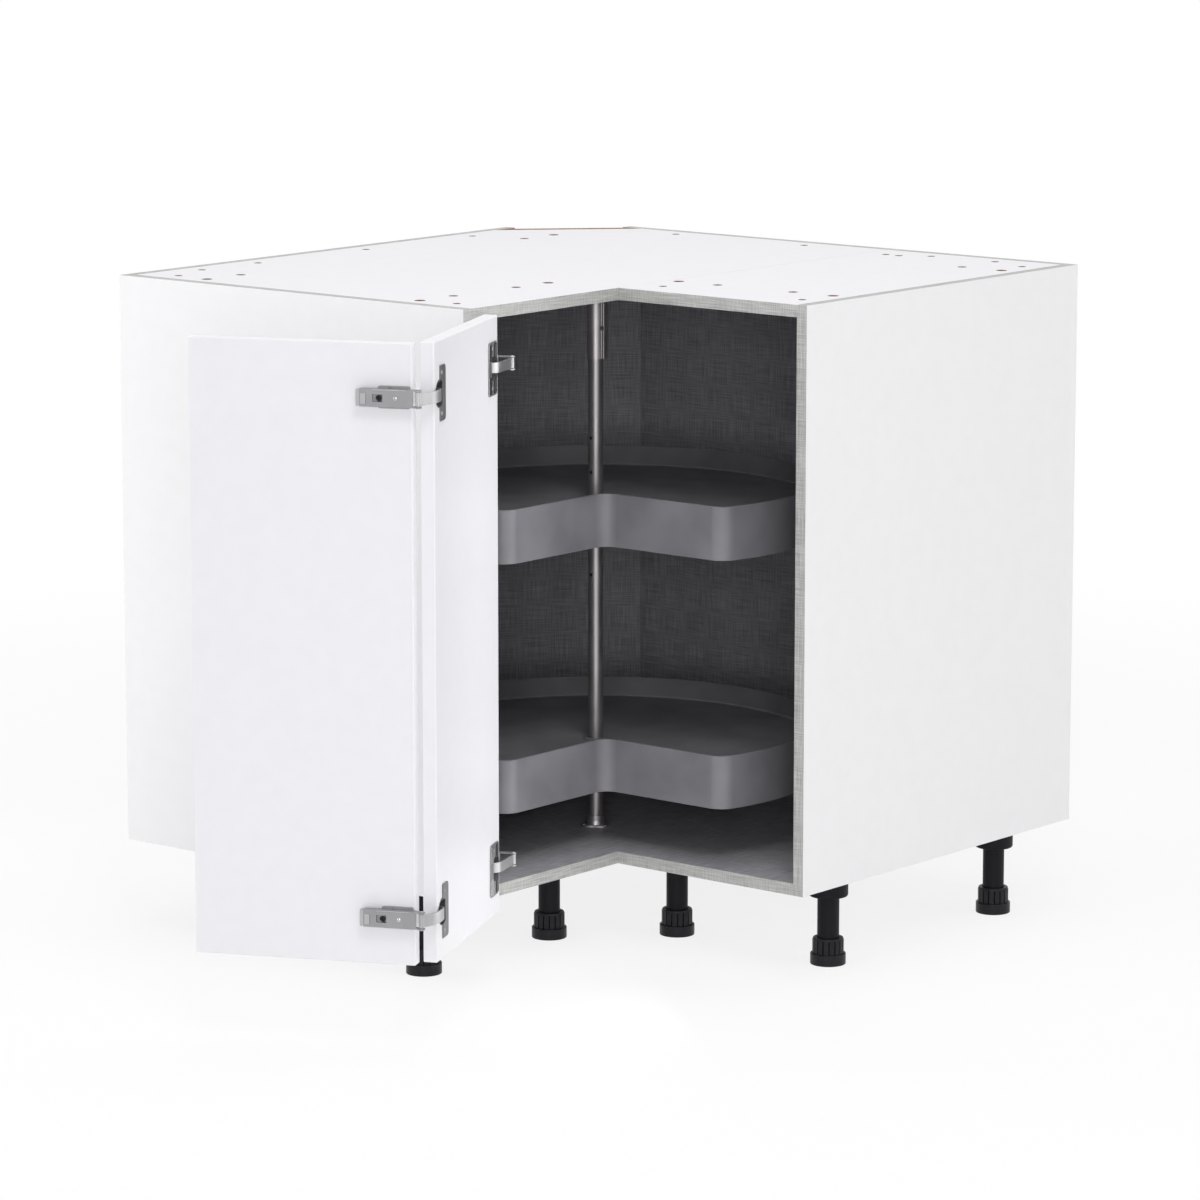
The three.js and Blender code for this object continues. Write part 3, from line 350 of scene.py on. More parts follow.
def follow(tree, name, spots, material, **sizes):
    """Runs a pattern on its points and keeps the result as a plain mesh."""
    guide = places(name + "_places", spots)
    modifier = guide.modifiers.new("pattern", "NODES")
    modifier.node_group = tree
    sockets = {item.name: item.identifier for item in tree.interface.items_tree
               if item.item_type == "SOCKET" and item.in_out == "INPUT"}
    for size, value in sizes.items():
        modifier[sockets[size.replace("_", " ").capitalize()]] = value
    modifier[sockets["Material"]] = material
    guide.update_tag()
    depsgraph = bpy.context.evaluated_depsgraph_get()
    mesh = bpy.data.meshes.new_from_object(guide.evaluated_get(depsgraph), depsgraph=depsgraph)
    guide.modifiers.remove(modifier)
    bpy.data.objects.remove(guide)
    mesh.name = name
    return mesh


# A drill bit: its tip is at the point and its shank runs the way that the point faces.
drill, size_of = new_pattern("drill_bit", ["Radius", "Length"])
shank = add_node(drill, "GeometryNodeMeshCylinder", {
    "Vertices": DRILL_SIDES, "Radius": size_of["Radius"], "Depth": size_of["Length"],
})
half_length = sums(drill, "MULTIPLY", size_of["Length"], 0.5)
set_on_points(drill, size_of, lifted(drill, shank.outputs["Mesh"], half_length))


def bored(piece, cutters):
    """Cuts the piece with meshes. The walls of the holes keep the cutter's material."""
    for mesh in cutters:
        bit = bpy.data.objects.new("bit", mesh)
        bpy.context.scene.collection.objects.link(bit)
        evened(piece, "cut", "BOOLEAN", operation="DIFFERENCE", solver="EXACT",
               material_mode="TRANSFER", object=bit)
        bpy.data.objects.remove(bit)
    return piece


FOOT_X, FOOT_Y, LEG_H = 123, -161, 114   # the corner foot, and how high the carcass stands


def at(x, y, z=0.0):
    """Metres off the corner foot. The arguments are millimetres off the room's corner, and up from
    the carcass's underside."""
    return Vector(((x - FOOT_X) / 1000, (y - FOOT_Y) / 1000, (z + LEG_H) / 1000))


RUN, DEPTH, CARCASS_H, BOARD = 914, 606, 768, 16
CORNER_CUT = 166.424             # the diagonal back starts here along both walls
# Each leg's axis, and the way from it to its spare hole.
LEGS = {"left_front": (499, -875, 0, 1), "left_inner": (499, -621, 0, -1),
        "right_inner": (621, -499, 1, 0), "right_front": (875, -499, -1, 0),
        "right_back": (875, -124, -1, 0), "left_back": (124, -875, 0, 1),
        "corner": (FOOT_X, FOOT_Y, 0, -1)}
SPARE_PITCH = 65
CONNECTORS = (
    [(44, -run) for run in (247, 473, 692, 801)] + [(run, -44) for run in (252, 482, 701, 808)]
    + [(run, -870) for run in (67, 557)] + [(870, -run) for run in (69, 558)]
    + [(640, -66), (640, -556), (662, -66)]
)
LEG_HOLES = [(x, y) for x, y, _, _ in LEGS.values()]
SPARE_HOLES = [(x + SPARE_PITCH * sx, y + SPARE_PITCH * sy) for x, y, sx, sy in LEGS.values()]
# Each kind of hole with its radius and its depth.
HOLES = (("leg", LEG_HOLES, 6, 11), ("spare", SPARE_HOLES, 5, 11), ("connector", CONNECTORS, 4, 12))
BIT_OUT = 4                      # the bit stands this much out of its hole


def span(bm, first, second):
    """The wall between two rings of corners."""
    for i in range(len(first)):
        j = (i + 1) % len(first)
        bm.faces.new((first[i], first[j], second[j], second[i]))


def closed_up(bm, foot, head):
    """A solid between two rings of corners."""
    bm.faces.new(list(reversed(foot)))
    bm.faces.new(head)
    span(bm, foot, head)


top_foil = melamine("white_top_foil", (0.86, 0.853, 0.888), roughness=0.42, grain=900.0,
                    sheen=0.3)
far, seam = RUN - BOARD, DEPTH + SEAM
TOP_OUTLINES = {
    "main": [(BOARD, -far), (DEPTH, -far), (DEPTH, -BOARD), (CORNER_CUT, -BOARD),
             (BOARD, -CORNER_CUT)],
    "wing": [(seam, -DEPTH), (far, -DEPTH), (far, -BOARD), (seam, -BOARD)],
}
for half, outline in TOP_OUTLINES.items():
    node = f"top_board_{half}"
    bm = bmesh.new()
    low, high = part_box(node)
    foot, head = ([bm.verts.new((*at(x, y)[:2], z)) for x, y in outline] for z in (low.z, high.z))
    closed_up(bm, foot, head)
    ease(bm, BOARD_EASE)
    bm.normal_update()
    faced(bm, AXIS["+z"], AXIS["-z"])
    piece = add_piece(f"top_{half}", bm, [top_foil] + BOARD_FINISHES[1:])
    bits = []
    for kind, spots, radius, deep in HOLES:
        drilled = [(at(x, y, CARCASS_H - deep), (0, 0, 1)) for x, y in spots
                   if (x > DEPTH) == (half == "wing")]
        bits.append(follow(drill, f"{kind}_{half}", drilled, raw_board, radius=radius / 1000,
                           length=(deep + BIT_OUT) / 1000))
        chipped = [(spot + Vector((0, 0, (deep - CHIP_DEEP) / 1000)), way) for spot, way in drilled]
        bits.append(follow(drill, f"{kind}_chips_{half}", chipped, raw_board,
                           radius=(radius + CHIP) / 1000, length=CHIP_DEEP * 4 / 1000))
    bored(piece, bits)
    smooth(piece)
    stand_for(piece, "carcass", "flat_board", node)

# The cabinet floor's linen is a lighter copy of the dark interior linen: painted light on the
# inside of the bottom boards.
LINEN_FLOOR_PAINTED_LIGHT = ((0.33, 0.324, 0.348), (0.56, 0.553, 0.59))
painted_light_floor_linen = linen("cabinet_floor_linen", LINEN_FLOOR_PAINTED_LIGHT, roughness=0.5)
for half in ("main", "wing"):
    node = f"bottom_board_{half}"
    finishes = [white_face, painted_light_floor_linen, pale_linen, raw_board]
    piece = smooth(add_piece(f"bottom_{half}", panel(node, "-z", "+z"), finishes))
    stand_for(piece, "carcass", "flat_board", node)

# ---------------------------------------------------------------- backs
# Three backs of the same board: left, right, and the short one set across the corner, whose sawn
# edges are left raw.
DIAGONAL = Vector((1, -1, 0)).normalized()
for node, outside, inside, sawn in (("back_panel_left", "-x", "+x", AXIS["+y"]),
                                    ("back_panel_right", "+y", "-y", AXIS["-x"])):
    bm = panel(node, outside, inside)
    for face in bm.faces:
        if face.normal.dot(sawn) > FACING:
            face.material_index = RAW
    piece = smooth(add_piece(node + "_board", bm, BOARD_FINISHES))
    stand_for(piece, "carcass", "back_board", node)

bm = joined_up("back_panel_corner")
ease(bm, BOARD_EASE)
bm.normal_update()
weave_map(bm)
for face in bm.faces:
    turn = face.normal.dot(DIAGONAL)
    face.material_index = LINEN if turn > FACING else WHITE if turn < -FACING else RAW
piece = smooth(add_piece("back_panel_corner_board", bm, BOARD_FINISHES))
stand_for(piece, "carcass", "back_board", "back_panel_corner")

# ---------------------------------------------------------------- leg sockets
# One black nylon moulding for each leg: a round flange against the underside of the cabinet, and a
# tube that the foot's spindle runs up into.
TURNED_SIDES = 56


def moulded(name, colour, roughness, grain, sheen):
    """Moulded plastic with a fine spark-eroded skin."""
    material, tree, shader = new_material(name, colour, roughness, sheen=sheen)
    skin = noise(tree, scale=grain, detail=3.0)
    uneven(tree, shader, skin, roughness, spread=0.16)
    mottled(tree, shader, noise(tree, scale=14.0), colour, low=0.9, high=1.12)
    relief(tree, shader, skin, strength=0.3, depth=0.00012)
    return material


black_nylon = moulded("black_nylon", (0.0095, 0.009, 0.0115), roughness=0.46, grain=1400.0,
                      sheen=0.12)


SIDE_SHARE = 0.45                # a rounding takes no more of a side than this


def softened(profile, rounding, steps=3):
    """A profile with each corner between its ends rounded."""
    line = [profile[0]]
    for before, corner, after in zip(profile, profile[1:], profile[2:]):
        ends = []
        for other in (before, after):
            reach = hypot(other[0] - corner[0], other[1] - corner[1])
            share = min(rounding, reach * SIDE_SHARE) / reach
            ends.append([corner[i] + (other[i] - corner[i]) * share for i in (0, 1)])
        for step in range(steps + 1):
            t = step / steps
            line.append(tuple(
                ends[0][i] * (1 - t) ** 2 + 2 * corner[i] * t * (1 - t) + ends[1][i] * t ** 2
                for i in (0, 1)
            ))
    line.append(profile[-1])
    return line


def circle(bm, centre, radius, height, sides):
    """A ring of corners round a centre at a height."""
    return [bm.verts.new(at(centre[0] + radius * cos(2 * pi * i / sides),
                            centre[1] + radius * sin(2 * pi * i / sides), height))
            for i in range(sides)]


def turned(bm, profile, centre):
    """Turns a profile of (radius, height) in millimetres, from the axis at the top round to the
    axis at the foot, or closed on itself where it stays clear of the axis."""
    hollow = profile[0][0] > 0
    rings = []
    for radius, height in profile:
        if radius <= 0:
            rings.append([bm.verts.new(at(*centre, height))])
        else:
            rings.append(circle(bm, centre, radius, height, TURNED_SIDES))
    pairs = list(zip(rings, rings[1:])) + ([(rings[-1], rings[0])] if hollow else [])
    for upper, lower in pairs:
        for i in range(TURNED_SIDES):
            j = (i + 1) % TURNED_SIDES
            corners = [upper[i % len(upper)], lower[i % len(lower)], lower[j % len(lower)],
                       upper[j % len(upper)]]
            corners = list(dict.fromkeys(corners))
            if len(corners) > 2:
                bm.faces.new(corners)


def lathed(name, profile, centre, material, rounding):
    """A smooth piece turned from a profile with rounded corners."""
    bm = bmesh.new()
    turned(bm, softened(profile, rounding), centre)
    bmesh.ops.recalc_face_normals(bm, faces=bm.faces)
    return smooth(add_piece(name, bm, [material]))


SOCKET = [(0, 10.7), (5.7, 10.7), (5.7, 0), (26, 0), (26, -20.5), (24.8, -22.5), (14.5, -22.5),
          (14.5, -89.3), (11, -89.3), (11, -12), (0, -12)]
for leg, (x, y, _, _) in LEGS.items():
    piece = lathed(f"socket_{leg}", SOCKET, (x, y), black_nylon, rounding=0.8)
    stand_for(piece, "carcass", "black_plastic", f"leg_socket_{leg}")

# ---------------------------------------------------------------- levelling feet
# Each foot is one black nylon moulding: a disc, a ribbed grip collar to turn it by hand, and a
# spindle that runs up inside the socket's tube.
FLOOR = -LEG_H
FOOT = [(0, -22), (10.5, -22), (10.5, -94.3), (15, -94.3), (15, FLOOR + 35.7),
        (19.9, FLOOR + 35.7), (20.3, FLOOR + 32.2), (17.4, FLOOR + 32.2), (17.4, FLOOR + 14.7),
        (23.5, FLOOR + 14.7), (23.5, FLOOR), (0, FLOOR)]
GRIP_RIBS, FIRST_RIB = 16, 0.3   # the ribs start a part of a rib round
GRIP_R, GRIP_FOOT = 18.6, 13.6
foot_nylon = moulded("foot_nylon", (0.0125, 0.0118, 0.0148), roughness=0.38, grain=1000.0,
                     sheen=0.2)

# A rib: a bar with rounded corners that stands up from its point and faces outwards.
rib, size_of = new_pattern("rib", ["Width", "Thickness", "Height", "Round"])
outline = add_node(rib, "GeometryNodeCurvePrimitiveQuadrilateral", {
    "Width": size_of["Thickness"], "Height": size_of["Width"],
})
rounded = add_node(rib, "GeometryNodeFilletCurve", {
    "Curve": outline.outputs["Curve"], "Count": 3, "Radius": size_of["Round"],
}, mode="POLY")
top_end = vector(rib, 0, 0, size_of["Height"])
upright = add_node(rib, "GeometryNodeCurvePrimitiveLine", {"End": top_end})
solid = add_node(rib, "GeometryNodeCurveToMesh", {
    "Curve": upright.outputs["Curve"], "Profile Curve": rounded.outputs["Curve"],
    "Fill Caps": True,
})
set_on_points(rib, size_of, solid.outputs["Mesh"], axis="X")

for leg, (x, y, _, _) in LEGS.items():
    bm = bmesh.new()
    turned(bm, softened(FOOT, rounding=1.1), (x, y))
    bmesh.ops.recalc_face_normals(bm, faces=bm.faces)
    spots = []
    for i in range(GRIP_RIBS):
        angle = 2 * pi * (i + FIRST_RIB) / GRIP_RIBS
        way = Vector((cos(angle), sin(angle), 0))
        spots.append((at(x + GRIP_R * way.x, y + GRIP_R * way.y, FLOOR + GRIP_FOOT), way))
    ribs = follow(rib, f"ribs_{leg}", spots, foot_nylon, width=0.0066, thickness=0.0040,
                  height=0.0195, round=0.0008)
    bm.from_mesh(ribs)
    piece = smooth(add_piece(f"foot_{leg}", bm, [foot_nylon]))
    stand_for(piece, f"foot_{leg}", "black_plastic", f"leg_foot_{leg}")

# ---------------------------------------------------------------- pole
# A chromed steel tube, drilled at a pitch for the pins that carry the trays. Its upper end runs in
# a split sleeve with two clamp flanges, and its foot stands in a lobed flange screwed to the floor.
POLE = (482, -502.5)
POLE_FOOT, POLE_HEAD = 16.3, 740
TUBE = [(8.5, POLE_HEAD), (10, POLE_HEAD), (10, POLE_FOOT), (8.5, POLE_FOOT)]
POLE_HOLES = [79.6, 362.7, 409.1, 455.5, 501.9, 548.3]
HOLE_START = 14                  # the bit starts this far from the pole's axis


def plated(name, colour, roughness, brushed, metallic=0.85):
    """Plated steel: faint drawing marks round the piece, and a little haze."""
    material, tree, shader = new_material(name, colour, roughness, metallic)
    marks = noise(tree, scale=220.0, detail=3.0, stretch=(1, 1, brushed))
    haze = noise(tree, scale=28.0, detail=3.0)
    gloss = sums(tree, "ADD", sums(tree, "MULTIPLY", marks, roughness * 0.5), roughness * 0.6)
    gloss = sums(tree, "ADD", gloss, sums(tree, "MULTIPLY", haze, roughness * 0.3))
    tree.links.new(gloss, shader.inputs["Roughness"])
    mottled(tree, shader, haze, colour, low=0.9, high=1.05, ends=(0.3, 0.7))
    relief(tree, shader, marks, strength=0.08, depth=0.00005)
    return material


chrome = plated("chrome", (0.43, 0.41, 0.415), roughness=0.4, brushed=0.2)
nickel = plated("satin_nickel", (0.335, 0.335, 0.35), roughness=0.46, brushed=0.4)
# Three copies of the same nickel plating in other tones: the bright one paints highlights on the
# cup bands, screw heads and rivets, the pale one paints light on the links, levers and clips, and
# the dark one paints shade on the fold cups.
bright_nickel_painted_highlight, pale_nickel_painted_light, dark_nickel_painted_shade = (
    plated(name, colour, roughness, brushed=0.4, metallic=metallic)
    for name, colour, roughness, metallic in (
        ("bright_nickel_painted_highlight", (0.58, 0.58, 0.59), 0.24, 0.97),
        ("pale_nickel_painted_light", (0.44, 0.44, 0.45), 0.38, 0.8),
        ("dark_nickel_painted_shade", (0.20, 0.20, 0.21), 0.4, 0.8),
    )
)
# A near-black for the walls of holes, grooves and slots, and for the cam screw's head: painted
# shade where the light hardly reaches.
bore_painted_shade = moulded("bore_shade", (0.02, 0.017, 0.016), roughness=0.6, grain=800.0, sheen=0.2)

bm = bmesh.new()
turned(bm, softened(TUBE, rounding=0.3), POLE)
bmesh.ops.recalc_face_normals(bm, faces=bm.faces)
tube = add_piece("pole", bm, [chrome, bore_painted_shade])
# The pin holes' walls take the near-black: painted shade.
holes = [(at(POLE[0], POLE[1] - HOLE_START, z), (0, 1, 0)) for z in POLE_HOLES]
bored(tube, [follow(drill, "pole_holes", holes, bore_painted_shade, radius=0.0024, length=0.028)])
stand_for(smooth(tube), "carcass", "pole_chrome", "pole_tube")


def about_pole(bm, outline, height):
    """A ring of corners at a height, from a plan outline about the pole's axis."""
    return [bm.verts.new(at(POLE[0] + x, POLE[1] + y, height)) for x, y in outline]


def prism(bm, outline, low, high):
    """A plan outline about the pole's axis, raised between two heights."""
    closed_up(bm, about_pole(bm, outline, low), about_pole(bm, outline, high))


def arc(x, y, radius, start, end, steps):
    """Points on an arc, in radians."""
    return [(x + radius * cos(start + (end - start) * i / steps),
             y + radius * sin(start + (end - start) * i / steps)) for i in range(steps + 1)]


SLEEVE_R, SLEEVE_IN, SLIT, FLANGE = 11.4, 10.4, 1.6, 3.7
SLEEVE_FOOT, SLEEVE_HEAD, SLEEVE_REACH = 654.8, 748.9, 18.8
BEADS, BEAD_R, BEAD_FOOT, BEAD_HEAD = (13.0, 16.6), 0.75, 656.0, 747.5
SLEEVE_ARC, BEAD_ARC = 48, 8     # steps in each arc
CHROME_EASE = 0.0006
open_out, open_in = asin(FLANGE / SLEEVE_R), asin(SLIT / SLEEVE_IN)
outline = ([(SLEEVE_REACH, FLANGE)] + arc(0, 0, SLEEVE_R, open_out, 2 * pi - open_out, SLEEVE_ARC)
           + [(SLEEVE_REACH, -FLANGE), (SLEEVE_REACH, -SLIT)]
           + arc(0, 0, SLEEVE_IN, 2 * pi - open_in, open_in, SLEEVE_ARC) + [(SLEEVE_REACH, SLIT)])
# The sleeve takes a lighter copy of the pole's chrome: painted light on the sleeve and its flanges.
sleeve_chrome_painted_light = plated("sleeve_chrome_painted_light", (0.50, 0.475, 0.48), roughness=0.4, brushed=0.2)
bm = bmesh.new()
prism(bm, outline, SLEEVE_FOOT, SLEEVE_HEAD)
ease(bm, CHROME_EASE, steps=3)
for bead in BEADS:
    for side, start in ((1, 0), (-1, pi)):
        half_round = arc(bead, side * FLANGE, BEAD_R, start, start + pi, BEAD_ARC)
        prism(bm, half_round, BEAD_FOOT, BEAD_HEAD)
bmesh.ops.recalc_face_normals(bm, faces=bm.faces)
piece = smooth(add_piece("sleeve", bm, [sleeve_chrome_painted_light]))
stand_for(piece, "carcass", "pole_chrome", "pole_sleeve")

piece = smooth(add_piece("clamp_screw", joined_up("pole_clamp_screw"), [nickel]))
stand_for(piece, "carcass", "hinge_nickel", "pole_clamp_screw")

BASE_R, LOBE_R, BASE_TOP, SCREW_RING = 18.5, 2.5, 19.3, 16.8
BASE_BIT = 0.012                 # the bit's middle is at the flange's top
BASE_COLLAR = [(10.4, 32.3), (12, 32.3), (12.25, 24.3), (13, BASE_TOP), (13, 16.4), (10.4, 16.4)]
LOBED_SIDES = 96
lobed = []
for angle in (2 * pi * i / LOBED_SIDES for i in range(LOBED_SIDES)):
    radius = BASE_R + LOBE_R * cos(3 * angle)
    lobed.append((radius * cos(angle), radius * sin(angle)))
bm = bmesh.new()
prism(bm, lobed, POLE_FOOT, BASE_TOP)
ease(bm, CHROME_EASE)
piece = add_piece("base_flange", bm, [chrome, bore_painted_shade])
base_screws = [
    at(POLE[0] + SCREW_RING * cos(angle), POLE[1] + SCREW_RING * sin(angle), BASE_TOP)
    for angle in (2 * pi * i / 3 for i in range(3))
]
# The screw holes' walls take the near-black: painted shade.
holes = [(spot - Vector((0, 0, BASE_BIT / 2)), (0, 0, 1)) for spot in base_screws]
bored(piece, [follow(drill, "base_holes", holes, bore_painted_shade, radius=0.002, length=BASE_BIT)])
bm = bmesh.new()
bm.from_mesh(piece.data)
turned(bm, softened(BASE_COLLAR, rounding=0.5), POLE)
bmesh.ops.recalc_face_normals(bm, faces=bm.faces)
bm.to_mesh(piece.data)
bm.free()
stand_for(smooth(piece), "carcass", "pole_chrome", "pole_base_flange")

TOP_FIXING = [(0, 751.7), (24, 751.7), (24, 749.2), (8.1, 749.2), (8.1, 725.2), (0, 725.2)]
piece = lathed("top_fixing", TOP_FIXING, POLE, black_nylon, rounding=0.6)
stand_for(piece, "carcass", "black_plastic", "pole_top_fixing")

# ---------------------------------------------------------------- trays
# Two grey injection-moulded trays, each a round dish with a square notch for the door corner, a
# rolled rim, a deep skirt and ribs underneath. They turn on the pole.
TRAY_R, NOTCH, NOTCH_ROUND, LOBE_ROUND = 303, 92.6, 20, 25
TRAY_H, TRAY_WALL, RIM_UP = 71, 3, 27.6
TRAY_RIMS = {"lower": 164, "upper": 493.5}
TRAY_ARC, NOTCH_ARC, LOBE_ARC, HUB_SIDES = 150, 14, 12, 48     # steps in each arc
TRAY_RIBS, RIB_FAN = 7, 45                                     # the fan's step in degrees
RIB_FROM, RIB_TO, RIB_DOWN = 15, 300.5, 25                     # from the axis, and from the dish
HUB_R, HUB_UP, BEARING_SEAT, BEARING_H = 17.5, 4, 0.3, 14.8
HAIR = 0.1                                                     # millimetres
LEANING = 0.3                                                  # such faces count as the floor's
SHELL, DISH_WALL_PAINTED_SHADE, DISH_FLOOR_PAINTED_LIGHT = range(3)
# One grey moulding in three tones: the shell's grey, a darker copy on the dish's inner walls as
# painted shade, and a lighter copy on the dish floor as painted light.
TRAY_GREYS = [
    moulded(name, colour, roughness, grain=1100.0, sheen=sheen)
    for name, colour, roughness, sheen in (
        ("grey_tray", (0.220, 0.216, 0.235), 0.3, 0.4),
        ("grey_tray_wall_painted_shade", (0.175, 0.173, 0.186), 0.45, 0.3),
        ("grey_tray_base_painted_light", (0.285, 0.281, 0.300), 0.5, 0.3),
    )
]


def tray_line(inset):
    """The tray's outline, drawn in by an inset. Every inset has the same number of points."""
    radius, face = TRAY_R - inset, NOTCH - inset
    lobe, notch = LOBE_ROUND - inset, NOTCH_ROUND + inset
    near = face - lobe
    far = sqrt((radius - lobe) ** 2 - near ** 2)
    lobe_angle = atan2(far, near)
    return (
        arc(0, 0, radius, lobe_angle - pi / 2, 2 * pi - lobe_angle, TRAY_ARC)
        + arc(near, -far, lobe, -lobe_angle, 0, LOBE_ARC)[1:]
        + arc(face + notch, -face - notch, notch, pi, pi / 2, NOTCH_ARC)
        + arc(far, -near, lobe, -pi / 2, lobe_angle - pi / 2, LOBE_ARC)[:-1]
    )


def flat_between(bm, outer, inner):
    """A flat face with a round hole in it."""
    edges = []
    for loop in (outer, inner):
        for a, b in zip(loop, loop[1:] + loop[:1]):
            edges.append(bm.edges.get((a, b)) or bm.edges.new((a, b)))
    bmesh.ops.triangle_fill(bm, use_beauty=True, use_dissolve=False, edges=edges)


def in_dish(spot):
    """Whether a spot is on the dish side of the tray's wall."""
    x, y = spot.x * 1000 + FOOT_X - POLE[0], spot.y * 1000 + FOOT_Y - POLE[1]
    in_round = hypot(x, y) < TRAY_R - TRAY_WALL + HAIR
    return in_round and not (x > NOTCH - TRAY_WALL - HAIR and y < -NOTCH + TRAY_WALL + HAIR)


for level, rim in TRAY_RIMS.items():
    bm = bmesh.new()
    floor, skirt = rim - RIM_UP, rim - TRAY_H
    # The wall's section, as insets and heights: up the outside, over the rim and down to the floor.
    section = [(3, floor - 3), (3, skirt + 0.2), (2.6, skirt), (0.4, skirt), (0, skirt + 0.6),
               (0, rim - 1.5), (0.25, rim - 0.7), (0.8, rim - 0.15), (1.5, rim),
               (2.2, rim - 0.15), (2.75, rim - 0.7), (3, rim - 1.5), (3, floor + 3.5),
               (3.35, floor + 1.7), (4.3, floor + 0.5), (6, floor)]
    hub_section = [(17.6, floor), (17, floor + 0.5), (17, floor + 2.4), (16.4, floor + 3),
                   (10.9, floor + 3), (10.4, floor + 2.4), (10.4, skirt + HUB_UP),
                   (17, skirt + HUB_UP), (17, floor - 3)]
    rings = [about_pole(bm, tray_line(inset), height) for inset, height in section]
    for first, second in zip(rings, rings[1:]):
        span(bm, first, second)
    hub = [circle(bm, POLE, radius, height, HUB_SIDES) for radius, height in hub_section]
    for first, second in zip(hub, hub[1:]):
        span(bm, first, second)
    flat_between(bm, rings[-1], hub[0])
    flat_between(bm, rings[0], hub[-1])
    # The dish floor's faces take the painted light, and the faces on the dish side of the wall take
    # the painted shade.
    for face in bm.faces:
        middle = face.calc_center_median()
        reach = (middle - at(*POLE, 0)).xy.length * 1000
        if middle.z > at(0, 0, floor - 1).z and reach > HUB_R:
            if middle.z < at(0, 0, rim - 1).z and abs(face.normal.z) > LEANING:
                face.material_index = DISH_FLOOR_PAINTED_LIGHT
            else:
                face.material_index = DISH_WALL_PAINTED_SHADE if in_dish(middle) else SHELL
    bmesh.ops.recalc_face_normals(bm, faces=bm.faces)
    spots = []
    middle = (RIB_TO + RIB_FROM) / 2
    for i in range(TRAY_RIBS):
        way = Vector((cos(radians(RIB_FAN * i)), sin(radians(RIB_FAN * i)), 0))
        foot = at(POLE[0] + middle * way.x, POLE[1] + middle * way.y, floor - RIB_DOWN)
        spots.append((foot, way))
    bm.from_mesh(follow(rib, f"tray_ribs_{level}", spots, TRAY_GREYS[SHELL], width=0.0025,
                        thickness=(RIB_TO - RIB_FROM) / 1000, height=0.0222, round=0.0006))
    piece = smooth(add_piece(f"carousel_tray_{level}", bm, TRAY_GREYS), sharper_than=40)
    stand_for(piece, f"carousel_{level}", "tray_plastic", f"tray_{level}")

    # The black collar that the tray runs on, and the pin through the tube that holds it up.
    foot = skirt + HUB_UP - BEARING_SEAT - BEARING_H
    head = foot + BEARING_H
    collar = [(10.4, head), (16, head), (16, foot), (10.4, foot)]
    piece = lathed(f"bearing_{level}", collar, POLE, black_nylon, rounding=0.7)
    stand_for(piece, "carcass", "black_plastic", f"bearing_collar_{level}")
    piece = add_piece(f"pin_{level}", joined_up(f"support_pin_{level}"), [nickel])
    smooth(piece, sharper_than=50)
    stand_for(piece, "carcass", "hinge_nickel", f"support_pin_{level}")

# ---------------------------------------------------------------- doors
# Two leaves of 18 mm board wrapped in smooth white foil, with softly rounded edges and round bores
# for the hinge cups. They fold against each other.
LEAF_EASE = 0.0016
SQUARE_WITHIN = 0.01             # radians
SHORT_EDGE = 0.017               # the facets of the round bores have shorter edges
door_foil = melamine("white_door_foil", (0.848, 0.840, 0.873), roughness=0.32, grain=600.0)
for leaf in ("a", "b"):
    bm = joined_up(f"door_leaf_{leaf}")
    corners = [
        e for e in bm.edges
        if len(e.link_faces) == 2 and abs(e.calc_face_angle(0) - pi / 2) < SQUARE_WITHIN
        and e.calc_length() > SHORT_EDGE
    ]
    bmesh.ops.bevel(bm, geom=corners, offset=LEAF_EASE, offset_type="OFFSET", segments=3,
                    profile=0.5, affect="EDGES", clamp_overlap=True)
    piece = smooth(add_piece(f"leaf_{leaf}", bm, [door_foil]))
    stand_for(piece, f"door_{leaf}", "door_leaf", f"door_leaf_{leaf}")

# ---------------------------------------------------------------- cabinet hinges
# Wide-angle clip hinges of nickel-plated steel: a plate and an arm on the end panel, a fork link,
# a cranked lever, and a cup pressed into leaf A. Riveted pins join them, and screws hold them.
STEEL_EASE, CLIP_EASE = 0.00035, 0.0007
HINGE_HEIGHTS = {"lower": 59, "upper": 700}

# A pan-head screw: a low dome with a cross recess, sunk to half in its point.
screw, size_of = new_pattern("screw", ["Radius", "Height"])
ball = add_node(screw, "GeometryNodeMeshUVSphere", {"Segments": 28, "Rings": 14, "Radius": 1.0})
dome = add_node(screw, "GeometryNodeTransform", {
    "Geometry": ball.outputs["Mesh"],
    "Scale": vector(screw, size_of["Radius"], size_of["Radius"], size_of["Height"]),
}).outputs["Geometry"]
recess = add_node(screw, "GeometryNodeMeshBoolean", {0: dome}, operation="DIFFERENCE")
BAR_LONG, BAR_SHORT = 1.15, 0.3          # of the screw's radius
for shares in ((BAR_LONG, BAR_SHORT), (BAR_SHORT, BAR_LONG)):
    sides = [sums(screw, "MULTIPLY", size_of["Radius"], share) for share in shares]
    size = vector(screw, *sides, size_of["Height"])
    bar = add_node(screw, "GeometryNodeMeshCube", {"Size": size}).outputs["Mesh"]
    screw.links.new(lifted(screw, bar, size_of["Height"]), recess.inputs[1])
set_on_points(screw, size_of, recess.outputs[0])


def screwed(name, body, slot, spots, material, **sizes):
    """A row of screws as one piece on a body."""
    bm = bmesh.new()
    bm.from_mesh(follow(screw, name, spots, material, **sizes))
    piece = smooth(add_piece(name, bm, [material]))
    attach(piece, body)


def leaf_frame(origin, along, out):
    """A leaf's own frame: millimetres along it, out of its inner face, and up the carcass."""
    def spot(run, proud, height):
        return at(origin[0] + along[0] * run + out[0] * proud,
                  origin[1] + along[1] * run + out[1] * proud, height)
    return spot


